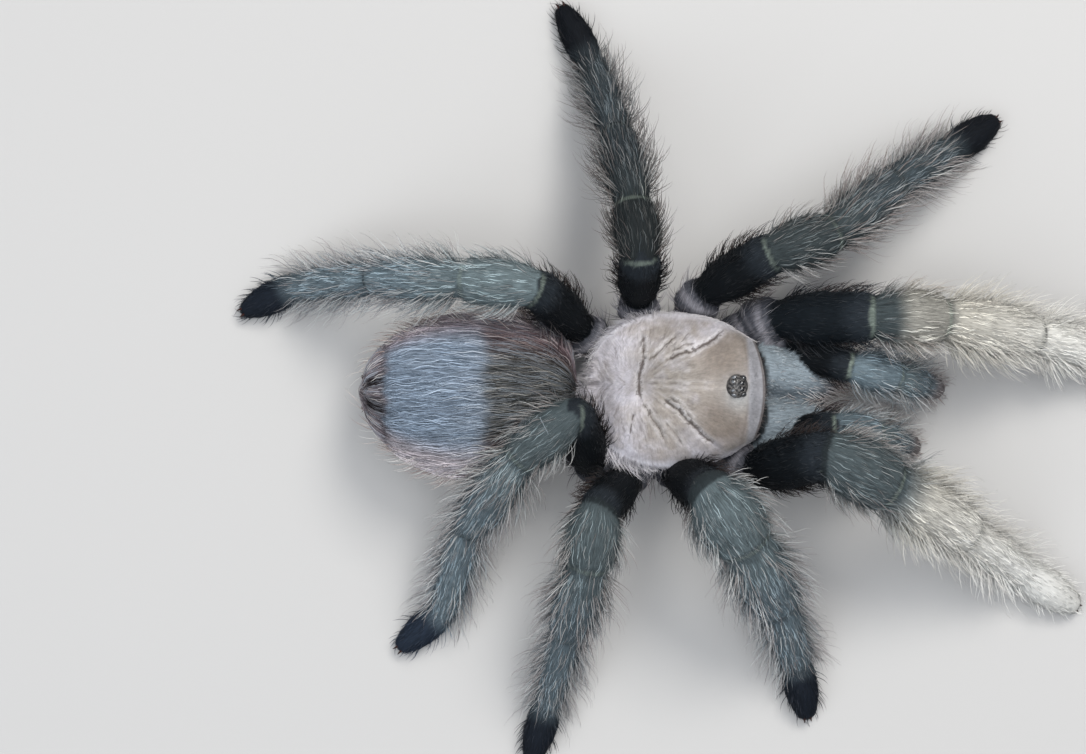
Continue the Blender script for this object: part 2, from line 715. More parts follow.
# Lengths in millimetres of the down, the setae and the bristles, then how many bristles.
COATS = {
    "coxa": (0.5, 1.2, 2.4, 1.0),
    "trochanter": (0.5, 1.3, 3.2, 2.0),
    "femur": (0.55, 1.2, 2.8, 0.25),
    "patella": (0.5, 1.5, 4.4, 0.8),
    "tibia": (0.55, 1.9, 6.0, 1.0),
    "metatarsus": (0.6, 1.9, 6.2, 1.1),
    "tarsus": (0.7, 1.1, 2.6, 0.6),
    "chelicera": (0.45, 0.8, 2.8, 0.25),
    "abdomen": (0.7, 1.6, 3.6, 0.7),
    "spinneret": (0.35, 0.6, 0.8, 0.3),
    "core": (0.5, 0.8, 1.0, 0.0),
    "stalk": (0.4, 0.5, 0.5, 0.0),
}


LAYERS = ("down", "setae", "bristles", "comb", "strands", "fringe")
FRINGE_LENGTHS = {"femur": 4.2, "patella": 4.0, "tibia": 5.2, "metatarsus": 5.2}


def thin(amounts, **factors):
    """Multiplies the amount of each kind of hair that is named."""
    for name, factor in factors.items():
        amounts[name] = amounts[name] * factor


def limb_coat(bone, t, turn, to_next, to_last, amounts, pale):
    """Sets the amounts of hair on a limb and gives back how pale it turns."""
    aside = np.abs(turn)
    under = smooth(aside, *UNDERSIDE)
    side = np.abs(np.sin(turn)) ** 1.5
    ring = smooth(to_next, 0.35, 0.6)
    heel = smooth(to_last, 0.0, 0.3)
    if bone.kind in KNEE:
        thin(amounts, down=0.15 + 0.85 * ring, setae=ring * heel, bristles=ring * heel)
    thin(amounts, bristles=0.08 + 0.92 * side ** 2 * (1 - 0.6 * under))
    if bone.kind == "tarsus" and is_palp(bone.limb):
        thin(amounts, bristles=2.5)
        pale = np.full(len(t), 0.9)
    thin(amounts, setae=1 - 0.45 * under, down=1 - 0.4 * under)
    if bone.kind in HAIRY:
        hanging = smooth(aside, 1.1, 1.5) * fade(aside, 2.0, 2.5)
        amounts["fringe"] = hanging * smooth(t * bone.length, -1.0, 0.4) * ring
        amounts["strands"] = 1.4 * fade(aside, 0.9, 1.5) * ring * heel
    if bone.kind == "femur":
        lower = smooth(aside, 1.3, 1.8) * fade(aside, 2.5, 2.9)
        amounts["fringe"] = 1.3 * lower * smooth(t, 0.05, 0.2) * fade(t, 0.8, 0.95)
    if is_palp(bone.limb):
        thin(amounts, fringe=1.3)
    if bone.kind in HIP:
        thin(amounts, setae=0.3, down=0.6, bristles=0.25)
    if bone.kind == "patella":
        thin(amounts, strands=0.5, bristles=0.5)
        pale = pale * mix(0.6, 1.0, side)
    if pair_of(bone.limb) == "leg_1" and bone.kind in OUTER[1:]:
        pale = pale * 0.35
    return pale * (0.6 if bone.limb == "leg_left_3" else 1)


def abdomen_coat(t, turn, amounts, pale):
    """Sets the amounts of hair on the abdomen and gives back how pale it turns."""
    aside = np.abs(turn)
    belly = smooth(aside, 1.9, 2.3)
    rear = fade(t, REAR_CAP - 0.01, REAR_CAP + 0.03)
    hollow = hollows_at(t, turn)
    amounts["comb"] = (1 - belly) * (1 - 0.9 * hollow)
    amounts["strands"] = 2.0 * (1 - belly) * (1 + 0.5 * smooth(aside, 0.8, 1.3))
    thin(amounts, strands=1 + 0.5 * rear)
    thin(amounts, strands=1 - 0.9 * hollow)
    amounts["down"] = (0.35 + 0.4 * belly) * (1 - rear)
    amounts["setae"] = 0.9 * belly
    thin(amounts, bristles=smooth(aside, 0.8, 1.4) * (1 - belly) * (1 - 0.7 * rear))
    thin(amounts, bristles=fade(t, 0.72, 0.86))
    pale = pale * (1 + 0.6 * smooth(aside, 0.8, 1.3) + 2.5 * rear + 0.6 * smooth(t, 0.55, 0.65))
    return pale * (1 - 0.8 * hollow)


def coat_of(bone, t, turn, height, to_next, to_last):
    """Amounts and lengths of each kind of hair, how far it stands out and how pale it turns."""
    down, seta, bristle, bristles = COATS[bone.kind]
    side = np.abs(np.sin(turn)) ** 1.5
    ones = np.ones(len(t))
    stand = ones * 0.8
    pale = ones * PALENESS.get(bone.kind, 0.8)
    amounts = {name: ones * 0.0 for name in LAYERS}
    amounts.update(down=ones * 1.0, setae=ones * 1.0, bristles=ones * bristles)
    comb, strand = 5.0, 5.5
    if bone.limb in LIMBS:
        pale = limb_coat(bone, t, turn, to_next, to_last, amounts, pale)
        stand = np.where(np.abs(turn) > math.pi / 2, mix(0.7, 1.0, side), mix(0.3, 1.0, side))
        strand = 2.4
        if bone.kind == "tarsus" and is_palp(bone.limb):
            bristle = 3.2
    elif bone.kind == "abdomen":
        pale = abdomen_coat(t, turn, amounts, pale)
        reach = np.where(t > REAR_CAP, t - REAR_CAP + 0.02, t) * bone.length
        comb = np.clip(reach, 1.1, 4.5)
        strand = np.clip(reach, 1.6, 5.5)
    elif bone.kind == "chelicera":
        tip = smooth(t, 0.5, 0.85)
        inner = smooth(-turn if bone.limb == "jaw_left" else turn, 0.3, 1.0)
        under = smooth(np.abs(turn), *UNDERSIDE)
        thin(amounts, bristles=0.1 + 4.0 * tip * (1 - under) + 2.0 * inner * smooth(t, 0.2, 0.5))
        thin(amounts, bristles=smooth(t * bone.length, 1.7, 2.3))
        thin(amounts, setae=smooth(t * bone.length, 1.2, 1.7))
        thin(amounts, down=1.6, setae=1.3)
        bristle = mix(1.6, 4.6, tip)
    elif bone.kind in ("core", "stalk"):
        thin(amounts, **dict.fromkeys(LAYERS, 0.15))
    bristle = ones * bristle * mix(0.6, 1.0, smooth(height, 0.0, 2.0)) * mix(0.7, 1.0, side)
    fringe = ones * FRINGE_LENGTHS.get(bone.kind, 1.0) * mix(0.55, 1.0, smooth(height, 0.5, 5.0))
    lengths = dict(zip(LAYERS, (down, seta, bristle, comb, strand, fringe)))
    return amounts, lengths, stand, pale


def lie_of(bone, points, t, turn):
    """The way the coat lies: to the toes on limbs, to the rear on the abdomen, ahead on the jaws."""
    if bone.kind == "abdomen":
        out = points - (bone.start + np.outer(np.clip(t, 0, 1) * bone.length, bone.along))
        lie = -bone.along + unit_rows(out) * 0.35
        lie[:, 2] -= 0.18 * np.abs(np.sin(turn))
        tip = unit_rows(bone.start - bone.along * 0.6 - points)
        return mix(tip, lie, smooth(t, 0.08, 0.3)[:, None])
    if bone.kind == "chelicera":
        return plain(bone.along + np.array((0, 0, -0.15)), points)
    return plain(bone.along, points)


# The skin's unwrap: each bone has its own chart, limbs two to a row and the trunk above them.
ROW_HEIGHT = 0.125
TRUNK_BASE = 5 * ROW_HEIGHT
MARGIN = 0.004


def chart_rooms():
    """Lower left corner and size of each bone's chart in the unit square."""
    rooms = {}
    for slot, limb in enumerate(LIMBS):
        own = [i for i, bone in enumerate(bones) if bone.limb == limb]
        total = sum(bones[i].length for i in own)
        left = 0.5 * (slot % 2)
        for i in own:
            wide = 0.5 * bones[i].length / total
            rooms[i] = (left, (slot // 2) * ROW_HEIGHT, wide, ROW_HEIGHT)
            left += wide
    trunk = [i for i, bone in enumerate(bones) if bone.limb not in LIMBS]
    tall = 1 - TRUNK_BASE
    half = tall / 2
    places = {"abdomen": (0, 0, 0.5, tall), "core": (0.5, 0, 0.2, half), "stalk": (0.5, half, 0.2, half)}
    jaws = [i for i in trunk if bones[i].kind == "chelicera"]
    fingers = [i for i in trunk if bones[i].kind == "spinneret"]
    for i in trunk:
        if bones[i].kind in places:
            left, low, wide, high = places[bones[i].kind]
        elif i in jaws:
            left, low, wide, high = 0.7, jaws.index(i) * half, 0.2, half
        else:
            left, low, wide, high = 0.9, fingers.index(i) * tall / 6, 0.1, tall / 6
        rooms[i] = (left, TRUNK_BASE + low, wide, high)
    return rooms


def unwrap_skin(mesh):
    """Writes the chart of the whole skin, OFBake, and each bone's own chart, full_chart."""
    corner_point, face_of_corner, totals = corners_of(mesh)
    count = len(corner_point)
    corners = points_of(mesh)[corner_point]
    centres = np.zeros((len(totals), 3))
    np.add.at(centres, face_of_corner, corners)
    centres /= totals[:, None]
    which, _, face_turn = nearest_bones(centres)
    corner_bone = which[face_of_corner]
    middle_turn = face_turn[face_of_corner]
    own = np.zeros((count, 2))
    for index, bone in enumerate(bones):
        chosen = corner_bone == index
        t, turn, _ = bone.locate(corners[chosen])
        near = middle_turn[chosen]
        turn = near + (turn - near + math.pi) % (2 * math.pi) - math.pi
        own[chosen, 0] = np.clip(mix(0.04, 0.96, t), 0, 1)
        own[chosen, 1] = np.clip(0.5 + 0.47 * turn / math.pi, 0, 1)
    rooms = chart_rooms()
    table = np.array([rooms[i] for i in range(len(bones))])[corner_bone]
    whole = table[:, :2] + MARGIN + own * (table[:, 2:] - 2 * MARGIN)
    store(mesh, "OFBake", whole, "FLOAT2", "CORNER")
    store(mesh, "full_chart", own, "FLOAT2", "CORNER")


def mark_skin(mesh):
    """Writes the markings, the lie of the coat and the amount and length of each kind of hair."""
    points = points_of(mesh)
    which, along, turn = nearest_bones(points)
    total = len(points)
    tint, lie, grain = np.zeros((3, total, 3))
    stand, pale = np.zeros((2, total))
    amounts = {name: np.zeros(total) for name in LAYERS}
    lengths = {name: np.zeros(total) for name in LAYERS}
    for index, bone in enumerate(bones):
        chosen = which == index
        if not chosen.any():
            continue
        t, angle = along[chosen], turn[chosen]
        seams = bone.seams(points[chosen])
        tint[chosen] = tint_of(bone, t, angle, *seams)
        lie[chosen] = lie_of(bone, points[chosen], t, angle)
        grain[chosen, 0] = t * bone.length
        grain[chosen, 1] = angle * float(bone.section(np.array(0.5))[0])
        grain[chosen, 2] = index
        some, long, stand[chosen], pale[chosen] = coat_of(bone, t, angle, points[chosen, 2], *seams)
        for name in LAYERS:
            amounts[name][chosen] = some[name]
            lengths[name][chosen] = long[name]
    hidden = under_plate(points)
    for name in LAYERS:
        store(mesh, name + "_amount", np.clip(amounts[name] * (1 - hidden), 0, 2))
        store(mesh, name + "_length", lengths[name])
    store(mesh, "tint", np.column_stack((tint, np.ones(total))), "FLOAT_COLOR")
    store(mesh, "lie", lie, "FLOAT_VECTOR")
    store(mesh, "grain", grain, "FLOAT_VECTOR")
    store(mesh, "stand", stand)
    store(mesh, "pale", pale)


# ------------------------------------------------------------------------------------ carapace shape

PLATE_WIDEST = 0.48  # how far along the carapace it is widest
CROWN_REAR = 12.6
CROWN_HEAD = 15.0


def plate_half(u):
    """Half the width of the carapace, from its rear, u 0, to its front, u 1."""
    behind = np.maximum(0, 1 - u / PLATE_WIDEST)
    ahead = np.maximum(0, (u - PLATE_WIDEST) / (1 - PLATE_WIDEST))
    rear_half = CARAPACE["half"] * (1 - behind ** 2.4) ** 0.45
    front_half = CARAPACE["half"] * np.cos(ahead * math.acos(CARAPACE["front_half"] / CARAPACE["half"]))
    return np.maximum(0.8, np.where(u < PLATE_WIDEST, rear_half, front_half))


def under_plate(points):
    """1 where a point of the skin lies hidden below the carapace, fading out at its edge."""
    x = points[:, 0] - OFFSET[0]
    y = points[:, 1] - OFFSET[1] - MID_Y
    u = np.clip((x - CARAPACE["rear"]) / (CARAPACE["front"] - CARAPACE["rear"]), 0, 1)
    inside = smooth(plate_half(u) - np.abs(y), 0.2, 1.2)
    inside = inside * smooth(x, CARAPACE["rear"], CARAPACE["rear"] + 1.2)
    inside = inside * fade(x, CARAPACE["front"] - 0.8, CARAPACE["front"])
    return inside * smooth(points[:, 2], 6.0, 7.5) * fade(points[:, 2], 10.6, 11.2)


# ------------------------------------------------------------------------------------ writing node trees

class Steps:
    """Writes a node tree as a row of steps. Each step adds a node, feeds its free sockets in order
    and gives back the first free output, or the node itself when whole is true."""

    def __init__(self, tree):
        self.tree = tree

    def add(self, kind, *feeds, whole=False, named=None, **settings):
        node = self.tree.nodes.new(kind)
        for key, value in settings.items():
            setattr(node, key, value)
        free = [socket for socket in node.inputs if socket.enabled]
        for socket, feed in zip(free, feeds):
            self.feed(socket, feed)
        for key, feed in (named or {}).items():
            self.feed(node.inputs[key], feed)
        if whole:
            return node
        return next(socket for socket in node.outputs if socket.enabled)

    def feed(self, socket, value):
        if isinstance(value, bpy.types.NodeSocket):
            self.tree.links.new(value, socket)
        elif value is not None:
            socket.default_value = value

    def math(self, operation, *feeds):
        return self.add("ShaderNodeMath", *feeds, operation=operation)

    def vector(self, operation, *feeds):
        return self.add("ShaderNodeVectorMath", *feeds, operation=operation)

    def chain(self, calculate, operation, first, *others):
        for other in others:
            first = calculate(operation, first, other)
        return first

    def times(self, *feeds):
        return self.chain(self.math, "MULTIPLY", *feeds)

    def plus(self, *feeds):
        return self.chain(self.math, "ADD", *feeds)

    def summed(self, *feeds):
        """The sum of vectors."""
        return self.chain(self.vector, "ADD", *feeds)

    def scaled(self, vector, scale):
        return self.vector("SCALE", vector, scale)

    def cross(self, first, second):
        return self.vector("CROSS_PRODUCT", first, second)

    def ranged(self, value, low, high, start=0.0, end=1.0):
        """Start where the value is low and end where it is high, level beyond them."""
        return self.add("ShaderNodeMapRange", value, low, high, start, end)

    def noise(self, place, scale, detail, roughness=0.5):
        sizes = {"Scale": scale, "Detail": detail, "Roughness": roughness}
        return self.add("ShaderNodeTexNoise", place, named=sizes)

    def between(self, share, first, second, kind="RGBA"):
        return self.add("ShaderNodeMix", share, first, second, data_type=kind)

    def parts(self, vector):
        return self.add("ShaderNodeSeparateXYZ", vector, whole=True).outputs

    def place(self):
        """The place on the piece, in its own frame."""
        return self.add("ShaderNodeTexCoord", whole=True).outputs["Object"]

    def mark(self, name, output="Fac"):
        """What the mesh stores under a name."""
        node = self.add("ShaderNodeAttribute", whole=True, attribute_name=name, attribute_type="GEOMETRY")
        return node.outputs[output]


# ------------------------------------------------------------------------------------ hairs

PATCH = 0.0028  # size of one hair's patch on the unwrap

HAIR_INPUTS = {
    "Geometry": ("Skin",),
    "String": ("Amount Map", "Length Map", "Unwrap"),
    "Float": (
        "Density", "Lock Density", "Length", "Width", "Lift", "Droop", "Sweep", "Gather", "Hug",
        "Lock Tone", "Follow", "Wave", "Waves",
    ),
    "Int": ("Bends", "Seed"),
    "Material": ("Finish",),
}
ROOT_SINK = 0.00005
ROOT_WIDTH, TIP_FILL = 0.5, 0.45  # the width at the root, and how full the taper is past it
FLOOR_CLEARANCE = 0.00012
SWEEP_SCALE = 260.0  # how often the sideways sweep of the hairs changes, per metre
LOCK_SEED = 71  # what the seed of the locks adds to that of the hairs
# What differs from hair to hair: from and to where, and what its seed adds to that of the hairs.
CHANCES = {
    "length": (0.65, 1.25, 1),
    "lift": (0.55, 1.35, 2),
    "pull": (0.6, 1.0, 3),
    "tone": (0.0, 1.0, 4),
    "lock": (0.0, 1.0, 5),
    "width": (0.75, 1.2, 6),
    "sway": (-0.5, 0.5, 11),
}
SWAY_GAIN = 3.0  # how strongly the hairs of a spot sweep aside together
LOCK_LIFT = (0.7, 0.6)  # the least lift of a lock and how much higher others stand
LOCK_PHASE = 6.28  # the waves of the locks start anywhere in a full turn


def hair_tree():
    """Grows closed, tapered hairs from a skin: they follow its lie, gather into locks and droop."""
    tree = bpy.data.node_groups.new("hairs", "GeometryNodeTree")
    for kind, names in HAIR_INPUTS.items():
        for name in names:
            tree.interface.new_socket(name, in_out="INPUT", socket_type="NodeSocket" + kind)
    tree.interface.new_socket("Hairs", in_out="OUTPUT", socket_type="NodeSocketGeometry")
    steps = Steps(tree)
    given = steps.add("NodeGroupInput", whole=True).outputs

    def stored(geometry, name, value, kind="FLOAT", domain="POINT"):
        return steps.add("GeometryNodeStoreNamedAttribute", geometry, None, name, value,
                         data_type=kind, domain=domain)

    def named(name, kind="FLOAT"):
        return steps.add("GeometryNodeInputNamedAttribute", name, data_type=kind)

    def named_vector(name):
        return named(name, "FLOAT_VECTOR")

    def chance(name):
        low, high, offset = CHANCES[name]
        seed = steps.plus(given["Seed"], offset)
        return steps.add("FunctionNodeRandomValue", low, high, named={"Seed": seed}, data_type="FLOAT")

    def scattered(density, seed):
        settings = {"Density": steps.times(named(given["Amount Map"]), density), "Seed": seed}
        return steps.add("GeometryNodeDistributePointsOnFaces", given["Skin"], whole=True,
                         named=settings).outputs

    # Where the hairs and the middles of the locks are.
    places = scattered(given["Density"], given["Seed"])
    lock_places = scattered(given["Lock Density"], steps.plus(given["Seed"], LOCK_SEED))["Points"]
    spot = steps.add("GeometryNodeInputPosition")
    up = places["Normal"]
    nearest = steps.add("GeometryNodeSampleNearest", lock_places, spot, domain="POINT")

    def at_lock(value, kind):
        return steps.add("GeometryNodeSampleIndex", lock_places, value, nearest,
                         data_type=kind, domain="POINT")

    lock_chance = at_lock(chance("lock"), "FLOAT")
    lie = named_vector("lie")
    flat = steps.vector("SUBTRACT", lie, steps.scaled(up, steps.vector("DOT_PRODUCT", lie, up)))
    sway = steps.noise(spot, SWEEP_SCALE, 1.0)
    sway = steps.plus(steps.times(steps.math("SUBTRACT", sway, 0.5), SWAY_GAIN), chance("sway"))
    lift = steps.times(given["Lift"], named("stand"), chance("lift"))
    lift = steps.times(lift, steps.plus(LOCK_LIFT[0], steps.times(lock_chance, LOCK_LIFT[1])))
    length = steps.times(named(given["Length Map"]), given["Length"], chance("length"))
    slant = steps.math("POWER", steps.math("MULTIPLY_ADD", lift, lift, 1.0), -0.5)
    pull = steps.vector("SUBTRACT", at_lock(spot, "FLOAT_VECTOR"), spot)
    pull = steps.scaled(pull, steps.times(given["Gather"], chance("pull")))
    points = places["Points"]
    for name, value, kind in (
        ("root_spot", spot, "FLOAT_VECTOR"),
        ("root_up", up, "FLOAT_VECTOR"),
        ("flat_way", steps.vector("NORMALIZE", flat), "FLOAT_VECTOR"),
        ("pull", pull, "FLOAT_VECTOR"),
        ("reach", steps.times(length, slant), "FLOAT"),
        ("lift", lift, "FLOAT"),
        ("sway", steps.times(sway, given["Sweep"]), "FLOAT"),
        ("tone", steps.between(given["Lock Tone"], chance("tone"), lock_chance, "FLOAT"), "FLOAT"),
        ("phase", steps.times(lock_chance, LOCK_PHASE), "FLOAT"),
        ("thick", steps.times(given["Width"], chance("width")), "FLOAT"),
        ("root_chart", named_vector(given["Unwrap"]), "FLOAT_VECTOR"),
    ):
        points = stored(points, name, value, kind)

    # One hair: a closed three-sided spike of height 1, which every point gets.
    spike = steps.add("GeometryNodeMeshCone", 3, given["Bends"], 1, 0.0, 1.0, 1.0, fill_type="NGON")
    place = steps.parts(steps.add("GeometryNodeInputPosition"))
    for name, axis in (("station", "Z"), ("spoke_a", "X"), ("spoke_b", "Y")):
        spike = stored(spike, name, place[axis])
    hairs = steps.add("GeometryNodeInstanceOnPoints", points, None, spike)
    hairs = steps.add("GeometryNodeRealizeInstances", hairs)

    # Each hair runs out along the lie, lifts, droops, sweeps aside and bends to its lock.
    s = named("station")
    root_up = named_vector("root_up")
    way = named_vector("flat_way")
    aside = steps.cross(root_up, way)
    square = steps.times(s, s)
    bow = steps.math("SUBTRACT", s, steps.times(square, given["Droop"]))
    height = steps.times(named("lift"), bow, named("reach"))
    ripple = steps.plus(steps.times(s, given["Waves"]), named("phase"))
    ripple = steps.times(steps.math("SINE", ripple), given["Wave"], s)
    drift = steps.plus(steps.times(square, named("sway")), ripple)
    path = steps.summed(steps.scaled(way, s), steps.scaled(aside, drift))
    path = steps.summed(steps.scaled(path, named("reach")), steps.scaled(named_vector("pull"), s),
                        named_vector("root_spot"))

    def on_skin(value, kind, where):
        return steps.add("GeometryNodeSampleNearestSurface", given["Skin"], value, data_type=kind,
                         named={"Sample Position": where})

    free = steps.summed(path, steps.scaled(root_up, height))
    below = steps.add("GeometryNodeProximity", given["Skin"], named={"Sample Position": path})
    skin_up = on_skin(steps.add("GeometryNodeInputNormal"), "FLOAT_VECTOR", path)
    close = steps.summed(below, steps.scaled(skin_up, height))
    path = steps.between(given["Hug"], free, close, "VECTOR")
    # Its colour is that of its root or, by Follow, that of the skin it lies over.
    passed = on_skin(named("tint", "FLOAT_COLOR"), "FLOAT_COLOR", path)
    tint = steps.between(given["Follow"], named("tint", "FLOAT_COLOR"), passed)
    fall = steps.times(s, steps.times(given["Droop"], 2.0))
    slope = steps.times(named("lift"), steps.math("SUBTRACT", 1.0, fall))
    veer = steps.scaled(aside, steps.times(s, named("sway")))
    course = steps.vector("NORMALIZE", steps.summed(way, steps.scaled(root_up, slope), veer))
    broad = steps.vector("NORMALIZE", steps.cross(root_up, course))
    deep = steps.cross(course, broad)
    fullness = steps.times(named("thick"), steps.plus(ROOT_WIDTH, steps.times(s, TIP_FILL)))
    ring = steps.summed(steps.scaled(broad, named("spoke_a")), steps.scaled(deep, named("spoke_b")))
    final = steps.summed(path, steps.scaled(ring, fullness))
    final = steps.parts(steps.vector("SUBTRACT", final, steps.scaled(root_up, ROOT_SINK)))
    grounded = steps.math("MAXIMUM", final["Z"], FLOOR_CLEARANCE)
    final = steps.add("ShaderNodeCombineXYZ", final["X"], final["Y"], grounded)
    hairs = stored(hairs, "tint", tint, "FLOAT_COLOR")
    hairs = steps.add("GeometryNodeSetPosition", hairs, None, final)

    # Each hair has its own small patch of the unwrap, at its root's place.
    across = steps.times(named("spoke_a"), PATCH * 0.5)
    patch = steps.add("ShaderNodeCombineXYZ", across, steps.times(s, PATCH), 0.0)
    hairs = stored(hairs, "OFBake", steps.summed(named_vector("root_chart"), patch), "FLOAT2", "CORNER")
    hairs = steps.add("GeometryNodeSetShadeSmooth", hairs)
    hairs = steps.add("GeometryNodeSetMaterial", hairs, None, given["Finish"])
    steps.add("NodeGroupOutput", hairs, whole=True)
    return tree


KEPT_ATTRIBUTES = {
    "tint", "pale", "station", "tone", "OFBake", "position", "material_index", "sharp_face", "sharp_edge",
}


def grow(name, ground, tree, **sizes):
    """A piece of hairs grown on a ground; each size is the tree's input of that name."""
    worker = new_object(name, ground.data.copy())
    growth = worker.modifiers.new("hairs", "NODES")
    growth.node_group = tree
    sockets = {item.name: item.identifier for item in tree.interface.items_tree if item.in_out == "INPUT"}
    for label, value in sizes.items():
        growth[sockets[label.replace("_", " ").title()]] = value
    hairs = applied(worker, name)
    for label in [item.name for item in hairs.data.attributes]:
        if label not in KEPT_ATTRIBUTES and not label.startswith("."):
            hairs.data.attributes.remove(hairs.data.attributes[label])
    return hairs


# ------------------------------------------------------------------------------------ finishes

def new_finish(name, **inputs):
    """A material, its steps and its surface, some of whose inputs are given by name."""
    finish = bpy.data.materials.new(name)
    finish.use_nodes = True
    steps = Steps(finish.node_tree)
    surface = finish.node_tree.nodes["Principled BSDF"]
    for label, value in inputs.items():
        label = label.replace("_", " ").title().replace("Ior", "IOR")
        steps.feed(surface.inputs[label], value)
    return finish, steps, surface.inputs


def roughen(steps, surface, strength, depth, relief):
    bump = steps.add("ShaderNodeBump", named={"Strength": strength, "Distance": depth, "Height": relief})
    steps.feed(surface["Normal"], bump)


def opaque(colour):
    return (*colour, 1.0)


def lightness(steps, tint):
    """0 on dark colours and 1 on the whitest, where roots are hardly darker than tips."""
    green = steps.add("ShaderNodeSeparateColor", tint, whole=True).outputs["Green"]
    return steps.ranged(green, 0.3, 0.75)


WHITEST = (0.93, 0.93, 0.93)  # no hair is lighter


def coat_finish(name, root, tip, spread, pales, paleness, roughness=0.5, least=0.2, turn=1.4):
    """Hair that takes its region's tint, darker at the root and turning pale towards the tip; pales
    are the two colours between which its tips vary, least the palest share every hair has and turn how
    late along the hair it comes."""
    finish, steps, surface = new_finish(name, roughness=roughness, specular_ior_level=0.1)
    tint = steps.mark("tint", "Color")
    station, tone = steps.mark("station"), steps.mark("tone")
    bright = steps.ranged(station, 0.0, 1.0, root, tip)
    bright = steps.between(lightness(steps, tint), bright, 1.0, "FLOAT")
    own = steps.ranged(tone, 0.0, 1.0, 1 - spread, 1 + spread)
    blotch = steps.ranged(steps.noise(steps.place(), 420.0, 2.0), 0.3, 0.7, 0.86, 1.14)
    base = steps.vector("MINIMUM", steps.scaled(tint, steps.times(bright, own, blotch)), WHITEST)
    share = steps.times(steps.math("POWER", station, turn), paleness,
                        steps.ranged(tone, 0.3, 0.85, least, 1.0), steps.mark("pale"))
    pale = steps.between(steps.ranged(tone, 0.2, 0.8), opaque(pales[0]), opaque(pales[1]))
    steps.feed(surface["Base Color"], steps.between(steps.math("MINIMUM", share, 1.0), base, pale))
    return finish


def skin_finish():
    """Velvet in the tint of its place, with fine streaks along each segment."""
    finish, steps, surface = new_finish("velvet_skin", roughness=0.72, specular_ior_level=0.1)
    tint = steps.mark("tint", "Color")
    streaks = steps.add("ShaderNodeMapping", steps.mark("grain", "Vector"), named={"Scale": (0.55, 5.0, 1.0)})
    streak = steps.noise(streaks, 1.6, 5.0, 0.65)
    gain = steps.between(lightness(steps, tint), steps.ranged(streak, 0.3, 0.7, 0.25, 0.8), 0.9, "FLOAT")
    steps.feed(surface["Base Color"], steps.scaled(tint, gain))
    roughen(steps, surface, 0.7, 0.00012, streak)
    return finish


# ------------------------------------------------------------------------------------ carapace

PLATE_STATIONS = 250
PLATE_ARC = 200  # points from rim to rim over the top
PLATE_FLAT = 20  # points back under it
LIP = 0.35  # how far the underside is drawn in from the rim
FRONT_CURVE = 1.1  # how far the front edge falls back at its corners
RIM_ROLL = 0.16  # how high the rim is rolled up
UNDERSIDE_CURVE = 0.35  # how much higher the underside is at the rim
REAR_STEP = 0.8  # how much higher than the rim the rear end starts
BROW_DROP = 1.6  # how far the front end falls off
FOVEA_DEPTH = 0.45
HEAD_SWELL = 0.28  # how much higher the head region is than what is round it

# Sunken lines of the carapace as places ahead and to the left, then their depth and half width and
# how dark they are: the fovea, the lines that leave it, the edges of the head region and its middle.
PLATE_LINES = (
    (((0.75, 3.7), (0.3, 2.5), (0.0, 1.5), (-0.05, 0.5), (0.0, -0.6), (0.35, -1.9)), 0.5, 0.26, 1.0),
    (((0.3, 2.5), (0.5, 4.4), (0.45, 6.4)), 0.21, 0.2, 0.85),
    (((0.35, -1.9), (0.95, -2.7), (1.9, -4.3), (3.1, -6.4)), 0.3, 0.15, 0.85),
    (((0.75, 2.7), (2.1, 3.9), (3.4, 5.1), (4.5, 6.3)), 0.22, 0.17, 0.8),
    (((2.6, 2.9), (4.3, 3.6), (5.9, 4.1), (7.6, 4.9), (9.0, 6.0), (10.2, 6.9)), 0.34, 0.26, 0.95),
    (((3.4, 4.0), (5.0, 4.7), (6.6, 5.0)), 0.21, 0.2, 0.75),
    (((2.4, -1.0), (3.4, -1.9), (4.5, -2.8), (5.8, -4.2), (7.5, -5.8), (9.2, -7.2)), 0.34, 0.24, 0.95),
    (((3.2, -0.9), (4.3, -1.8), (5.4, -3.0), (6.2, -4.1)), 0.22, 0.2, 0.75),
    (((-0.6, -2.9), (-0.9, -4.2), (-1.1, -5.6)), 0.14, 0.18, 0.75),
    (((-0.9, 3.3), (-1.5, 4.9)), 0.1, 0.14, 0.35),
    (((2.6, -3.6), (4.2, -5.6), (5.2, -7.0)), 0.16, 0.17, 0.6),
    (((4.2, 4.6), (5.8, 6.3)), 0.14, 0.17, 0.6),
    (((0.6, 0.45), (4.0, 0.3), (9.2, 0.15)), 0.07, 0.14, 0.45),
)
PITS = ((5.2, 4.05, 0.26), (5.95, 4.3, 0.2), (4.5, -2.5, 0.22))  # place and size of the dark dents
NOTCH = (-5.4, -3.4, 0.2, 0.4)  # the dent in the rear rim: from and to ahead, its place aside, half width
BROW = (9.5, 3.5)  # the middles of the brown, smooth cheeks: how far ahead, and to both sides
FOVEA = (0.2, 0.4)  # the middle that the fibres run out from
# The edges of the head region, as places ahead and to the left.
HEAD_LEFT = ((2.6, 5.9, 9.0, 14.2), (2.9, 4.1, 6.0, 7.5))
HEAD_RIGHT = ((2.4, 5.8, 9.2, 14.2), (-1.0, -4.2, -7.2, -8.4))

PLATE_TAN = shade("928a83")
PLATE_CREAM = shade("928a80")
PLATE_LILAC = shade("b4b2ba")
PLATE_BROWN = shade("6b6056")
PLATE_MIST = shade("a5a7a6")
PLATE_RIM = shade("d3d2da")
PLATE_FRONT = shade("96979d")
PLATE_GROOVE = shade("3f342e")
PLATE_FIBRE = shade("d9d6d6")


def lattice(a, b, seed):
    """A repeatable number from 0 to 1 for each cell of a grid."""
    spun = np.sin(a * 127.1 + b * 311.7 + seed * 74.7) * 43758.5453
    return spun - np.floor(spun)


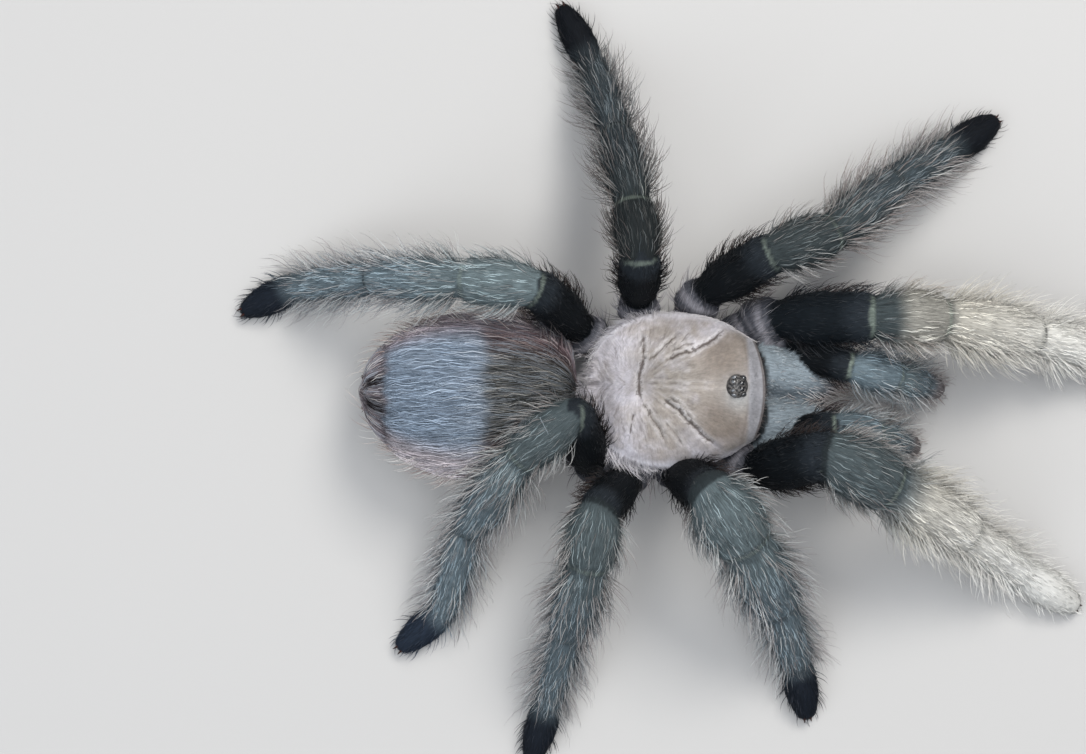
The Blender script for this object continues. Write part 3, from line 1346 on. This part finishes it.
def noise_at(a, b, seed, layers=3):
    """Smooth noise from 0 to 1 over two coordinates, each layer twice as fine as the last."""
    total, weight, whole = 0.0, 1.0, 0.0
    for _ in range(layers):
        low_a, low_b = np.floor(a), np.floor(b)
        part_a, part_b = smooth(a - low_a, 0, 1), smooth(b - low_b, 0, 1)
        near = mix(lattice(low_a, low_b, seed), lattice(low_a + 1, low_b, seed), part_a)
        far = mix(lattice(low_a, low_b + 1, seed), lattice(low_a + 1, low_b + 1, seed), part_a)
        total = total + weight * mix(near, far, part_b)
        whole += weight
        a, b, seed, weight = a * 2.03, b * 2.03, seed + 1, weight * 0.55
    return total / whole


def line_marks(x, y):
    """At each place the depth of the sunken lines, how dark they are, the swelling round them and the
    light banks beside them."""
    depth, dark, trough, bank = np.zeros((4, len(x)))
    rough = noise_at(x * 2.2, y * 2.2, 5)
    grit = noise_at(x * 5.5, y * 5.5, 19)
    for line, deep, wide, shadow in PLATE_LINES:
        knots = np.array(line)
        run = np.r_[0, np.cumsum(np.linalg.norm(np.diff(knots, axis=0), axis=1))]
        fine = np.linspace(0, run[-1], 24)
        path = np.column_stack((np.interp(fine, run, knots[:, 0]), np.interp(fine, run, knots[:, 1])))
        path[:, 1] += 0.08 * np.sin(fine * 2.3 + knots[0, 0]) + 0.05 * np.sin(fine * 6.1 + knots[0, 1])
        gap = np.full_like(x, 1e3)
        share = np.zeros_like(x)
        for i in range(len(path) - 1):
            step = path[i + 1] - path[i]
            t = ((x - path[i, 0]) * step[0] + (y - path[i, 1]) * step[1]) / (step @ step)
            t = np.clip(t, 0, 1)
            away = np.hypot(x - path[i, 0] - t * step[0], y - path[i, 1] - t * step[1])
            closer = away < gap
            gap[closer] = away[closer]
            share[closer] = ((i + t) / (len(path) - 1))[closer]
        run_out = smooth(share, 0.0, 0.12) * fade(share, 0.78, 1.0)
        ragged = gap + 0.16 * (rough - 0.5)
        depth = np.maximum(depth, deep * 0.2 * run_out * bell(ragged, 0, wide * 0.7))
        dark = np.maximum(dark, shadow * run_out * np.exp(-np.maximum(ragged, 0) / (wide * 0.5)))
        flecks = smooth(grit, 0.53, 0.66) * bell(gap, 0, 0.65)
        dark = np.maximum(dark, 0.65 * shadow * run_out * flecks * (deep > 0.2))
        trough = np.maximum(trough, deep * 0.5 * run_out * bell(gap, 0, 0.9))
        bank = np.maximum(bank, shadow * run_out * bell(gap, 0.36, 0.2))
    for ahead, aside, size in PITS:
        pit = np.exp(-(((x - ahead) / size) ** 2 + ((y - aside) / size / 0.8) ** 2))
        dark = np.maximum(dark, 0.9 * pit)
        depth = np.maximum(depth, 0.15 * pit)
    start, end, middle, wide = NOTCH
    notch = bell(y, middle, wide) * fade(x, start, end)
    return np.maximum(depth, 0.5 * notch), np.maximum(dark, 0.42 * notch), trough, bank * (0.3 + 1.2 * rough)


def from_fovea(x, y):
    """How far places are from the fovea, and which way."""
    ahead, aside = FOVEA
    return np.hypot(x - ahead, (y - aside) * 0.9), np.arctan2(y - aside, x - ahead)


def rays_at(x, y):
    """Fine fibres that run out from the fovea, from -1 in the gaps to 1 on the crests, and how far they
    show at each place."""
    far, angle = from_fovea(x, y)
    warp = noise_at(x * 0.9, y * 0.9, 3) - 0.5
    around = np.abs(angle) * 11.0 + 2.5 * warp
    rays = noise_at(around * (1 + 0.1 * far), far * 0.9 + warp, 11, 3) * 2 - 1
    shown = smooth(far, 0.2, 1.2) * (1 - 0.6 * smooth(far, 5.0, 8.5)) * (1 - 0.85 * smooth(x, 5.0, 8.0))
    return np.clip(rays * 1.9, -1, 1), shown


def plate_height(x, y, u, v):
    """Height of the carapace over the floor at each place, how dark the lines are there, how far it
    is on the head region, and the light banks beside the lines."""
    slope = mix(CARAPACE["rim"] + REAR_STEP, CROWN_REAR, smooth(u, 0, 0.2))
    head = mix(slope, CROWN_HEAD, smooth(u, 0.28, 0.62))
    brow = head - BROW_DROP * smooth(u, 0.9, 1)
    pit = FOVEA_DEPTH * bell(u, 0.29, 0.1) * bell(y, FOVEA[1], 3.5)
    dome = np.maximum(0, 1 - v * v) ** 0.4
    depth, dark, trough, bank = line_marks(x, y)
    inner = smooth(dome, 0.15, 0.6)
    height = CARAPACE["rim"] + (brow - pit - CARAPACE["rim"]) * dome
    rays, shown = rays_at(x, y)
    lumps = noise_at(x * 1.3, y * 1.3, 29) - 0.5
    height = height - (depth + trough - 0.03 * bank - 0.02 * rays * shown - 0.07 * lumps) * inner
    on_head = smooth(np.interp(x, *HEAD_LEFT) - y, -0.3, 0.9)
    on_head = on_head * smooth(y - np.interp(x, *HEAD_RIGHT), -0.3, 0.9) * smooth(x, 2.0, 4.5)
    height = height + HEAD_SWELL * on_head * inner
    return height, dark * inner, on_head, bank * inner


def make_plate():
    """The carapace as a closed shell with its lines, markings and the maps of its nap and fringe."""
    stations = (1 - np.cos(np.pi * np.linspace(0.012, 1, PLATE_STATIONS))) / 2
    arc = np.pi * np.linspace(0, 1, PLATE_ARC)
    flat = np.linspace(-1, 1, PLATE_FLAT + 2)[1:-1]
    count = PLATE_ARC + PLATE_FLAT
    u = np.repeat(stations, count)
    v = np.tile(np.r_[np.cos(arc), flat], len(stations))
    top = np.tile(np.r_[np.ones(PLATE_ARC), np.zeros(PLATE_FLAT)], len(stations)) > 0
    half = plate_half(u)
    x = mix(CARAPACE["rear"], CARAPACE["front"], u) - FRONT_CURVE * v ** 2 * smooth(u, 0.7, 1.0)
    y = MID_Y + v * half
    height, dark, on_head, bank = plate_height(x, y, u, v)
    y = np.where(top, y, MID_Y + v * (half - LIP))
    z = np.where(top, height, CARAPACE["floor"] + UNDERSIDE_CURVE * np.abs(v) ** 3)
    rim_roll = bell((1 - np.abs(v)) * half, 0, 0.35)
    z = np.where(top, z + RIM_ROLL * rim_roll * fade(x, 8.0, 12.0), z)
    rings = (np.column_stack((x, y, z)) + OFFSET).reshape(len(stations), count, 3)
    made = smooth_piece("carapace_plate", *tube_mesh(rings[:, ::-1]), plate_finish())
    mesh = made.data

    def spread(values):
        """Values on the rings as values on the mesh, whose rings are turned round, with its poles."""
        table = values.reshape(len(stations), count)[:, ::-1]
        return np.r_[table[0].mean(), table.ravel(), table[-1].mean()]

    def spread_rows(rows):
        return np.column_stack([spread(rows[:, i]) for i in range(rows.shape[1])])

    far, angle = from_fovea(x, y)
    rear = fade(x, -3.5, 3.0)
    wall = smooth(u, 0.996, 0.9995)  # the upright front end over the jaws
    edge = smooth(np.abs(v), 0.88, 0.98) * top
    inside = smooth(1 - np.abs(v), 0.05, 0.2)
    rays, shown = rays_at(x, y)
    cloud = noise_at(x * 0.8, y * 0.8, 41)
    grit = noise_at(x * 3.6, y * 3.6, 53)
    outer = rear * 0.75 + smooth(far, 5.5, 9.0) * 0.5 * (1 - on_head) + (cloud - 0.5)
    past_brow = np.abs(x - BROW[0]) / 3.0
    beside = np.abs(np.abs(y + 0.1) - BROW[1]) / 2.6
    cheek = np.exp(-past_brow ** 3 - beside ** 3) * (0.25 + 0.75 * on_head)
    paler_right = mix(0.55, 0.95, smooth(-y, -2.0, 4.0))
    tint = blend_rows(
        plain(PLATE_TAN, x),
        (PLATE_CREAM, np.exp(-((x - 4) / 4.5) ** 2 - ((y - 0.2) / 3.2) ** 2) * 0.9),
        (PLATE_LILAC, np.clip(outer, 0, 1)),
        (PLATE_BROWN, np.clip(cheek * (0.7 + 0.6 * cloud), 0, 1) * 0.9),
        (PLATE_MIST, np.exp(-((x - 11.2) / 1.6) ** 2 - ((y + 0.9) / 1.7) ** 2) * 0.8),
        (PLATE_FRONT, smooth(x, 11.9, 12.5) * 0.85),
        (PLATE_GROOVE, 0.25 * bell(x - 12.2 + 0.02 * y * y, 0, 0.16) * inside),
        (PLATE_RIM, edge * paler_right * (1 - 0.8 * smooth(x, 10.0, 12.5))),
    )
    tint = tint * (1.0 - 0.1 * smooth(np.abs(y - 6.5), 3.0, 0.0) * smooth(x, -3.0, 2.0))[:, None]
    tint = tint * (0.86 + 0.28 * grit + 0.16 * (cloud - 0.5))[:, None]
    light = np.clip(0.5 * bank + 0.3 * np.clip(rays, 0, 1) ** 1.5 * shown, 0, 1)
    tint = blend_rows(
        tint,
        (PLATE_FIBRE, light * 0.75),
        (PLATE_GROOVE, 0.4 * np.clip(-rays, 0, 1) ** 2 * shown),
        (PLATE_GROOVE, (1 - top) * 0.7),
        (PLATE_GROOVE, 0.8 * smooth(u, 0.98, 0.992)),
    )
    colours = np.column_stack((spread_rows(tint), np.ones(len(mesh.vertices))))
    store(mesh, "tint", colours, "FLOAT_COLOR")
    store(mesh, "grain", spread_rows(np.column_stack((angle * 6.0, far, on_head))), "FLOAT_VECTOR")

    # The nap lies outward from the fovea; on the left of the rear rim it turns along the rim, and
    # at the front end it hangs.
    out = unit_rows(np.column_stack((x - 0.5, y - 0.4, np.zeros_like(x))), 0.01)
    ahead = smooth(x, 3.0, 7.0)[:, None]
    lie = out * (1 - ahead * 0.5) + np.array((1.0, 0, 0)) * ahead * 0.5
    along_rim = np.column_stack((-out[:, 1], out[:, 0], np.zeros_like(x)))
    lie = lie + along_rim * (1.2 * rear * smooth(y, 1.0, 3.0) * smooth(np.abs(v), 0.75, 0.92))[:, None]
    lie = blend_rows(lie, (np.array((0.25, 0, -1.0)), wall))
    store(mesh, "lie", spread_rows(lie), "FLOAT_VECTOR")

    smooth_cheek = np.clip(cheek * 1.2 + smooth(x, 8.0, 10.5) * on_head * 0.5, 0, 1)
    nap = top * (1 - 0.85 * smooth_cheek) * (1 - dark * 0.8)
    nap = nap * (0.45 + 0.4 * smooth(far, 1.0, 4.0)) * (0.5 + 0.9 * noise_at(x * 1.5, y * 1.5, 61))
    nap = nap * (1 - 0.75 * rear) * (1 - 0.6 * rear * smooth(y, 0.0, 2.0)) + 0.5 * smooth(x, 12.2, 12.8) * top
    fringe = top * smooth(np.abs(v), 0.88, 0.97) + top * fade(x, -5.4, -4.4)
    backward = fade(x, -2.0, 3.0)
    woolly = backward * fade(y, -1.5, 1.5)
    fringe = np.clip(fringe, 0, 1) * (0.3 + 0.4 * backward + 0.5 * woolly + 0.5 * smooth(x, 12.0, 13.5))
    hip_tuft = bell(x, 6.0, 1.5) * (y < 0)
    for name, values in (
        ("crease", dark),
        ("pale", 0.25 + 0.75 * np.clip(light + rear * (0.3 + 0.5 * cloud) + edge, 0, 1)),
        ("nap_amount", nap),
        ("nap_length", 1 - 0.35 * rear + 0.4 * smooth(x, 12.0, 12.8) + 1.8 * wall),
        ("fringe_amount", fringe),
        ("fringe_length", 0.55 + 0.8 * backward + 0.8 * woolly + 0.5 * hip_tuft),
        ("stand", np.ones_like(x)),
    ):
        store(mesh, name, spread(values))
    around = np.tile(np.arange(count) / count, len(stations))
    unwrap_tube(mesh, spread(u), spread(around))
    return made


def unwrap_tube(mesh, along, around):
    """An unwrap from a place along and a place round for each vertex, without a face over the seam."""
    corner_point, face_of_corner, totals = corners_of(mesh)
    a, b = along[corner_point], around[corner_point]
    highest = np.full(len(totals), -1.0)
    np.maximum.at(highest, face_of_corner, b)
    over = (highest[face_of_corner] - b) > 0.5
    b = np.where(over, b + 1, b)
    chart = np.column_stack((mix(0.01, 0.99, a), np.clip(mix(0.01, 0.98, b), 0, 1)))
    store(mesh, "OFBake", chart, "FLOAT2", "CORNER")


def plate_finish():
    """A leathery shell in the tint of its place, with fine fibres, worn patches and dark creases."""
    finish, steps, surface = new_finish("carapace_shell", specular_ior_level=0.4, sheen_weight=0.15)
    place = steps.place()
    streaks = steps.add("ShaderNodeMapping", steps.mark("grain", "Vector"), named={"Scale": (2.4, 0.45, 1.0)})
    streak = steps.noise(streaks, 2.6, 6.0, 0.75)
    fine = steps.noise(place, 2600.0, 4.0, 0.6)
    patches = steps.noise(place, 260.0, 3.0)
    gain = steps.times(steps.ranged(streak, 0.25, 0.75, 0.7, 1.22),
                       steps.ranged(patches, 0.3, 0.7, 0.82, 1.12),
                       steps.ranged(fine, 0.3, 0.7, 0.9, 1.1))
    crack = steps.math("MULTIPLY_ADD", steps.noise(place, 1300.0, 5.0, 0.75), 0.9, -0.45)
    crease = steps.ranged(steps.plus(steps.mark("crease"), crack), 0.22, 0.7, 0.0, 0.85)
    tint = steps.scaled(steps.mark("tint", "Color"), gain)
    steps.feed(surface["Base Color"], steps.between(crease, tint, opaque(PLATE_GROOVE)))
    relief = steps.math("MULTIPLY_ADD", fine, 0.45, streak)
    roughen(steps, surface, 0.7, 0.0001, steps.math("MULTIPLY_ADD", crease, -0.5, relief))
    steps.feed(surface["Roughness"], steps.ranged(streak, 0.3, 0.7, 0.62, 0.48))
    return finish


# ------------------------------------------------------------------------------------ eyes

MOUND = {"x": 10.9, "length": 2.5, "width": 2.7, "height": 1.1, "lift": 0.05, "foot": -0.5}
# Place ahead and aside on the mound, radius and how much longer than wide, turn and paleness.
EYES = (
    (0.50, 0.36, 0.33, 1.0, 0, 0.0),
    (0.78, 0.98, 0.34, 1.25, 35, 0.15),
    (-0.50, 0.50, 0.21, 1.3, -30, 0.8),
    (-0.38, 1.02, 0.27, 1.35, 25, 0.6),
)
EYE_RIM = 0.13  # the height of the rim round each eye
EYE_SINK = 0.18  # how deep the lenses sit in the rims, as a share of their radius
LENS_SIDES = 28


def mound_height(ahead, aside):
    round_off = 1 - (2 * ahead / MOUND["length"]) ** 2 - (2 * aside / MOUND["width"]) ** 2
    return MOUND["height"] * np.sqrt(np.maximum(round_off, 0))


def eye_places():
    for ahead, aside, radius, long, turn, pale in EYES:
        for side in (-1, 1):
            yield ahead, aside * side, radius, long, math.radians(turn * side), pale


def make_mound():
    """The mound of the eyes, with a low rim round each eye."""
    rings = []
    turns = full_turn(72)
    for share in np.sin(np.pi / 2 * np.linspace(1.0, 0.03, 26)):
        ahead = MOUND["length"] / 2 * share * np.cos(turns)
        aside = MOUND["width"] / 2 * share * np.sin(turns)
        height = mound_height(ahead, aside)
        for eye_ahead, eye_aside, radius, *_ in eye_places():
            away = np.hypot(ahead - eye_ahead, aside - eye_aside)
            height = height + EYE_RIM * bell(away, radius * 1.12, 0.1)
        rings.append(np.column_stack((
            MOUND["x"] + ahead + OFFSET[0],
            FACE_Y + aside + OFFSET[1],
            CROWN_HEAD + MOUND["lift"] + height,
        )))
    foot = rings[0].copy()
    foot[:, 2] = CROWN_HEAD + MOUND["foot"]
    return smooth_piece("eye_mound", *tube_mesh(np.array([foot, *rings])), mound_finish())


def make_lenses():
    """The eight eyes: domes that sit in the rims of the mound."""
    lenses, pales = [], []
    turns = full_turn(LENS_SIDES)
    for ahead, aside, radius, long, turn, pale in eye_places():
        rings = []
        for angle in np.linspace(-0.6, 1.5, 14):
            along = radius * long * math.cos(angle) * np.cos(turns)
            across = radius * math.cos(angle) * np.sin(turns)
            rings.append(np.column_stack((
                along * math.cos(turn) - across * math.sin(turn),
                along * math.sin(turn) + across * math.cos(turn),
                np.full(LENS_SIDES, radius * 0.8 * math.sin(angle)),
            )))
        height = mound_height(ahead, aside)
        tilt = Vector((ahead / (MOUND["length"] / 2) ** 2, aside / (MOUND["width"] / 2) ** 2,
                       height / MOUND["height"] ** 2)).normalized()
        turned = np.array(Vector((0, 0, 1)).rotation_difference(tilt).to_matrix())
        seat = np.array((MOUND["x"] + ahead, FACE_Y + aside, CROWN_HEAD + MOUND["lift"] + height))
        rings = np.array(rings) @ turned.T + seat + OFFSET - np.array(tilt) * radius * EYE_SINK
        lenses.append(tube_mesh(rings))
        pales.extend([pale] * len(lenses[-1][0]))
    made = smooth_piece("eye_lenses", *joined(lenses), lens_finish())
    store(made.data, "pale", np.array(pales))
    return made


def mound_finish():
    """Near black with pale specks."""
    finish, steps, surface = new_finish("eye_mound", roughness=0.45)
    grit = steps.noise(steps.place(), 3800.0, 4.0)
    dark, light = opaque(shade("111113")), opaque(shade("6f6c69"))
    steps.feed(surface["Base Color"], steps.between(steps.ranged(grit, 0.42, 0.68), dark, light))
    roughen(steps, surface, 0.4, 0.00004, grit)
    return finish


def lens_finish():
    """Wet black, and pearly on the paler eyes."""
    finish, steps, surface = new_finish(
        "eye_lens", roughness=0.06, specular_ior_level=0.7, coat_weight=0.6, coat_roughness=0.03,
    )
    dark, pearl = opaque(shade("08080a")), opaque(shade("7b7f84"))
    steps.feed(surface["Base Color"], steps.between(steps.times(steps.mark("pale"), 0.8), dark, pearl))
    return finish


# ------------------------------------------------------------------------------------ fangs and claws

# A fang: its length, the radius at its base and tip, how far it bends in degrees, and how high its
# base and its lowest point are.
FANG = {"length": 6.2, "radius": 0.75, "tip": 0.16, "bend": 75, "base": 4.9, "lowest": 0.7}
FANG_AHEAD, FANG_ASIDE = 22.2, 2.2  # where it leaves the jaw
FANG_DROP = 0.55  # how steeply it goes down, as a share of a round arc
CLAW = {"length": 1.15, "radius": 0.17, "spread": 0.3, "rise": 0.3, "lowest": 0.16, "rings": 9}


def hook_mesh(spine, radii, sides=20):
    """A curved, pointed horn round a spine of points."""
    ways = unit_rows(np.gradient(spine, axis=0))
    turns = full_turn(sides)
    aside = unit(np.cross(ways[0], (0.12, 0.05, 1.0)))
    rings = []
    for point, way, radius in zip(spine, ways, radii):
        over = unit(np.cross(way, aside))
        beside = np.cross(over, way)
        rings.append(point + radius * (np.outer(np.cos(turns), beside) + np.outer(np.sin(turns), over)))
    return tube_mesh(np.array(rings))


def make_fang(side):
    """The fang of one side, folded back under the jaw; side is 1 on the left."""
    turn = math.radians(FANG["bend"])
    arc = FANG["length"] / turn
    spine, radii = [], []
    for t in np.linspace(0, 1, 26):
        drop = arc * math.sin(turn * t) * FANG_DROP
        spine.append((
            FANG_AHEAD - arc * (1 - math.cos(turn * t)) + OFFSET[0],
            JAWS_Y[1] + side * (FANG_ASIDE - 0.5 * t * t) + OFFSET[1],
            max(FANG["base"] - drop, FANG["lowest"]),
        ))
        radii.append(mix(FANG["radius"], FANG["tip"], t ** 0.9) * min(1, 0.35 + 3.2 * (1 - t)))
    name = "fang_horn_left" if side > 0 else "fang_horn_right"
    return smooth_piece(name, *hook_mesh(np.array(spine), radii), fang_horn)


def make_claws():
    """Two hooked claws at the tip of each leg and one on each palp, joined in one mesh."""
    hooks = []
    stations = np.linspace(0, 1, CLAW["rings"])
    radii = [CLAW["radius"] * (1 - 0.85 * t) for t in stations]
    for limb in LIMBS:
        joints = joints_of(limb)
        way = unit(joints[-1] - joints[-2])
        aside = unit(np.cross((0, 0, 1), way))
        toe = joints[-1] - way * SEGMENT_GIRTHS["tarsus"][1] * LIMB_PAIRS[pair_of(limb)]["girth"] * 0.95
        toe[2] += CLAW["rise"]
        for side in ((0,) if is_palp(limb) else (-1, 1)):
            spine = []
            for t in stations:
                ahead = way * (0.25 + CLAW["length"] * math.sin(t * 1.25))
                rise = 0.42 * math.sin(t * math.pi) - 0.55 * t * t
                spine.append(toe + ahead + aside * side * CLAW["spread"] * (1 + 0.5 * t)
                             + np.array((0, 0, rise)) + OFFSET)
            spine = np.array(spine)
            spine[:, 2] = np.maximum(spine[:, 2], CLAW["lowest"])
            hooks.append(hook_mesh(spine, radii, sides=10))
    return smooth_piece("toe_claws", *joined(hooks), claw_horn)


def horn_finish(name, roughness, gloss):
    """Dark horn, clouded with red."""
    finish, steps, surface = new_finish(name, roughness=roughness, specular_ior_level=gloss)
    black, red = opaque(shade("0d0a0a")), opaque(shade("3c1a12"))
    steps.feed(surface["Base Color"], steps.between(steps.noise(steps.place(), 700.0, 3.0), black, red))
    return finish


# ------------------------------------------------------------------------------------ the skin and its coat

skin = make_skin()
unwrap_skin(skin.data)
mark_skin(skin.data)
skin.data.materials.append(skin_finish())

WHITE_HAIR = shade("dedcd8")
ROSE_HAIR = shade("a8948c")
SKY_HAIR = shade("bcc6d0")
MAUVE_HAIR = shade("a39aa0")
SAND_HAIR = shade("bfb4a6")
LILAC_HAIR = shade("d2cfd6")

tree = hair_tree()
fang_horn = horn_finish("fang_horn", 0.2, 0.6)
claw_horn = horn_finish("claw_horn", 0.5, 0.15)
ROSY = (ROSE_HAIR, WHITE_HAIR)
# Each finish of the hair: its shade at the root and at the tip, how much hairs differ, the colours
# of the tips, how pale they turn, how rough they are, then the least paleness and how late it comes.
HAIR_FINISHES = {
    "down": (0.6, 1.15, 0.25, ROSY, 0.12, 0.6),
    "setae": (0.5, 1.2, 0.45, ROSY, 0.7, 0.5, 0.0, 0.9),
    "bristles": (1.0, 1.3, 0.3, ROSY, 1.0, 0.42, 0.75, 0.25),
    "combed_hair": (0.8, 1.1, 0.3, (MAUVE_HAIR, SKY_HAIR), 0.35, 0.4, 0.0, 0.3),
    "strands": (1.2, 2.5, 0.3, ROSY, 0.45, 0.4, 0.2, 0.8),
    "long_hair": (0.8, 1.5, 0.3, ROSY, 0.95, 0.45, 0.5, 0.7),
    "carapace_nap": (0.8, 1.2, 0.35, (SAND_HAIR, LILAC_HAIR), 0.5, 0.5),
    "carapace_fringe": (0.85, 1.25, 0.3, (LILAC_HAIR, WHITE_HAIR), 0.8, 0.5, 0.5, 0.8),
}

THIN = 1.0
PER_SQUARE_MM = 1e6  # what the trees count in square metres


def hair_kind(maps, finish, locks, width, bends, unwrap="OFBake", wave=0.0, waves=0.0, **shape):
    """The settings of one kind of hair: the maps it grows by, its finish, how many locks a square
    millimetre has, its width in millimetres, its number of bends, and how it lies: how far it
    droops, sweeps aside and gathers into its lock, how close it hugs the skin, how much its tone is
    its lock's, and how far its colour follows the skin it lies over."""
    return {
        "amount_map": maps + "_amount", "length_map": maps + "_length", "unwrap": unwrap,
        "finish": coat_finish(finish, *HAIR_FINISHES[finish]), "lock_density": locks * PER_SQUARE_MM,
        "width": width * MM, "bends": bends, "wave": wave, "waves": waves, **shape,
    }


DOWN = hair_kind("down", "down", 1.2, 0.085, 1,
                 droop=0.6, sweep=0.25, gather=0.25, hug=0.6, lock_tone=0.4, follow=0.6)
SETAE = hair_kind("setae", "setae", 0.9, 0.08, 2, wave=0.03, waves=5.0,
                  droop=0.5, sweep=0.22, gather=0.3, hug=1.0, lock_tone=0.45, follow=0.7)
BRISTLES = hair_kind("bristles", "bristles", 0.5, 0.085, 4, wave=0.07, waves=6.0,
                     droop=0.42, sweep=0.35, gather=0.15, hug=0.0, lock_tone=0.3, follow=0.0)
COMBED = hair_kind("comb", "combed_hair", 1.1, 0.11, 4, "full_chart", wave=0.045, waves=9.0,
                   droop=0.75, sweep=0.07, gather=0.5, hug=1.0, lock_tone=0.55, follow=0.9)
STRANDS = hair_kind("strands", "strands", 0.6, 0.15, 6, wave=0.05, waves=11.0,
                    droop=0.8, sweep=0.1, gather=0.35, hug=1.0, lock_tone=0.5, follow=0.8)
LONG = hair_kind("fringe", "long_hair", 0.35, 0.095, 5, wave=0.1, waves=7.0,
                 droop=0.5, sweep=0.4, gather=0.5, hug=0.0, lock_tone=0.5, follow=0.0)
NAP = hair_kind("nap", "carapace_nap", 3, 0.06, 1,
                droop=0.6, sweep=0.35, gather=0.25, hug=0.0, lock_tone=0.5, follow=0.0)
RIM = hair_kind("fringe", "carapace_fringe", 1.6, 0.075, 4, wave=0.12, waves=7.0,
                droop=0.6, sweep=0.4, gather=0.4, hug=0.0, lock_tone=0.4, follow=0.0)

plate = make_plate()

# Each piece of the coat: where it grows, its kind of hair, hairs per square millimetre, how long
# and how steep they are, and its seed.
GROWTHS = (
    ("down_a", skin, DOWN, 5.4, 1, 0.32, 11),
    ("down_b", skin, DOWN, 5.4, 1.2, 0.42, 23),
    ("setae_a", skin, SETAE, 2.8, 1, 0.22, 37),
    ("setae_b", skin, SETAE, 2.8, 1.3, 0.34, 41),
    ("bristles_a", skin, BRISTLES, 2.4, 0.55, 1.2, 53),
    ("bristles_b", skin, BRISTLES, 2.4, 1.0, 1.6, 59),
    ("combed_a", skin, COMBED, 7.0, 1, 0.1, 67),
    ("combed_b", skin, COMBED, 7.0, 1.15, 0.16, 79),
    ("strands", skin, STRANDS, 0.95, 1, 0.2, 101),
    ("long_a", skin, LONG, 2.1, 1, 0.9, 107),
    ("long_b", skin, LONG, 2.1, 0.75, 1.3, 113),
    ("carapace_nap", plate, NAP, 70, 0.33, 0.25, 83),
    ("carapace_fringe", plate, RIM, 30, 1.5, 0.25, 97),
)
coats = [
    grow(name, ground, tree, **kind, density=hairs * (PER_SQUARE_MM * THIN), length=length * MM,
         lift=lift, seed=seed)
    for name, ground, kind, hairs, length, lift, seed in GROWTHS
]
mound = make_mound()
lenses = make_lenses()
fangs = [make_fang(side) for side in (1, -1)]
claws = make_claws()

for piece in (skin, plate, mound, lenses, claws, *fangs, *coats):
    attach(piece, BODY)
flesh_nodes = [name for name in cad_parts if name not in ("carapace", "eyes", "fang_left", "fang_right")]
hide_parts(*flesh_nodes)
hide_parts("carapace")
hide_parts("eyes")
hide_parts("fang_left")
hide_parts("fang_right")


# ------------------------------------------------------------------------------------ floor and light

# Name, place, size, power and colour of each light.
LIGHTS = (
    ("key", (0.16, 0.30, 0.45), 0.22, 3.0, (1.0, 0.97, 0.93)),
    ("fill", (-0.35, -0.25, 0.4), 0.4, 1.5, (0.9, 0.95, 1.0)),
    ("overhead", (0.0, 0.0, 0.6), 0.5, 2.8, (0.97, 0.98, 1.0)),
)
WORLD_COLOUR, WORLD_STRENGTH = (0.86, 0.9, 1.0, 1), 0.49
FLOOR_HALF = 3.0
FLOOR_COLOUR = (0.36, 0.356, 0.348, 1)
BACKDROP_GLOW = (0.27, 0.284, 0.319, 1)
GLOW_FROM, GLOW_TO = 0.16, 0.9  # metres from the animal at which the glow starts and is full


def make_floor():
    """A pale floor that glows far from the animal, where it meets the backdrop without a horizon."""
    mesh = bpy.data.meshes.new("floor")
    corners = [(a * FLOOR_HALF, b * FLOOR_HALF, 0) for a, b in ((-1, -1), (1, -1), (1, 1), (-1, 1))]
    mesh.from_pydata(corners, [], [(0, 1, 2, 3)])
    finish, steps, surface = new_finish(
        "pale_floor", base_color=FLOOR_COLOUR, roughness=0.8, emission_color=BACKDROP_GLOW,
    )
    away = steps.vector("LENGTH", steps.place())
    steps.feed(surface["Emission Strength"], steps.ranged(away, GLOW_FROM, GLOW_TO))
    mesh.materials.append(finish)
    new_object("floor", mesh)


def make_light(name, place, size, power, colour):
    """A soft square light that shines at the animal."""
    lamp = bpy.data.lights.new(name, "AREA")
    lamp.size = size
    lamp.energy = power
    lamp.color = colour
    made = new_object(name, lamp)
    made.location = place
    made.rotation_euler = (-Vector(place)).to_track_quat("-Z", "Y").to_euler()


make_floor()
for light in LIGHTS:
    make_light(*light)
world = bpy.data.worlds.new("studio")
world.use_nodes = True
world.node_tree.nodes["Background"].inputs["Color"].default_value = WORLD_COLOUR
world.node_tree.nodes["Background"].inputs["Strength"].default_value = WORLD_STRENGTH
bpy.context.scene.world = world
bpy.context.scene.view_settings.view_transform = "Standard"


# ------------------------------------------------------------------------------------ size and finish

bpy.context.view_layer.update()
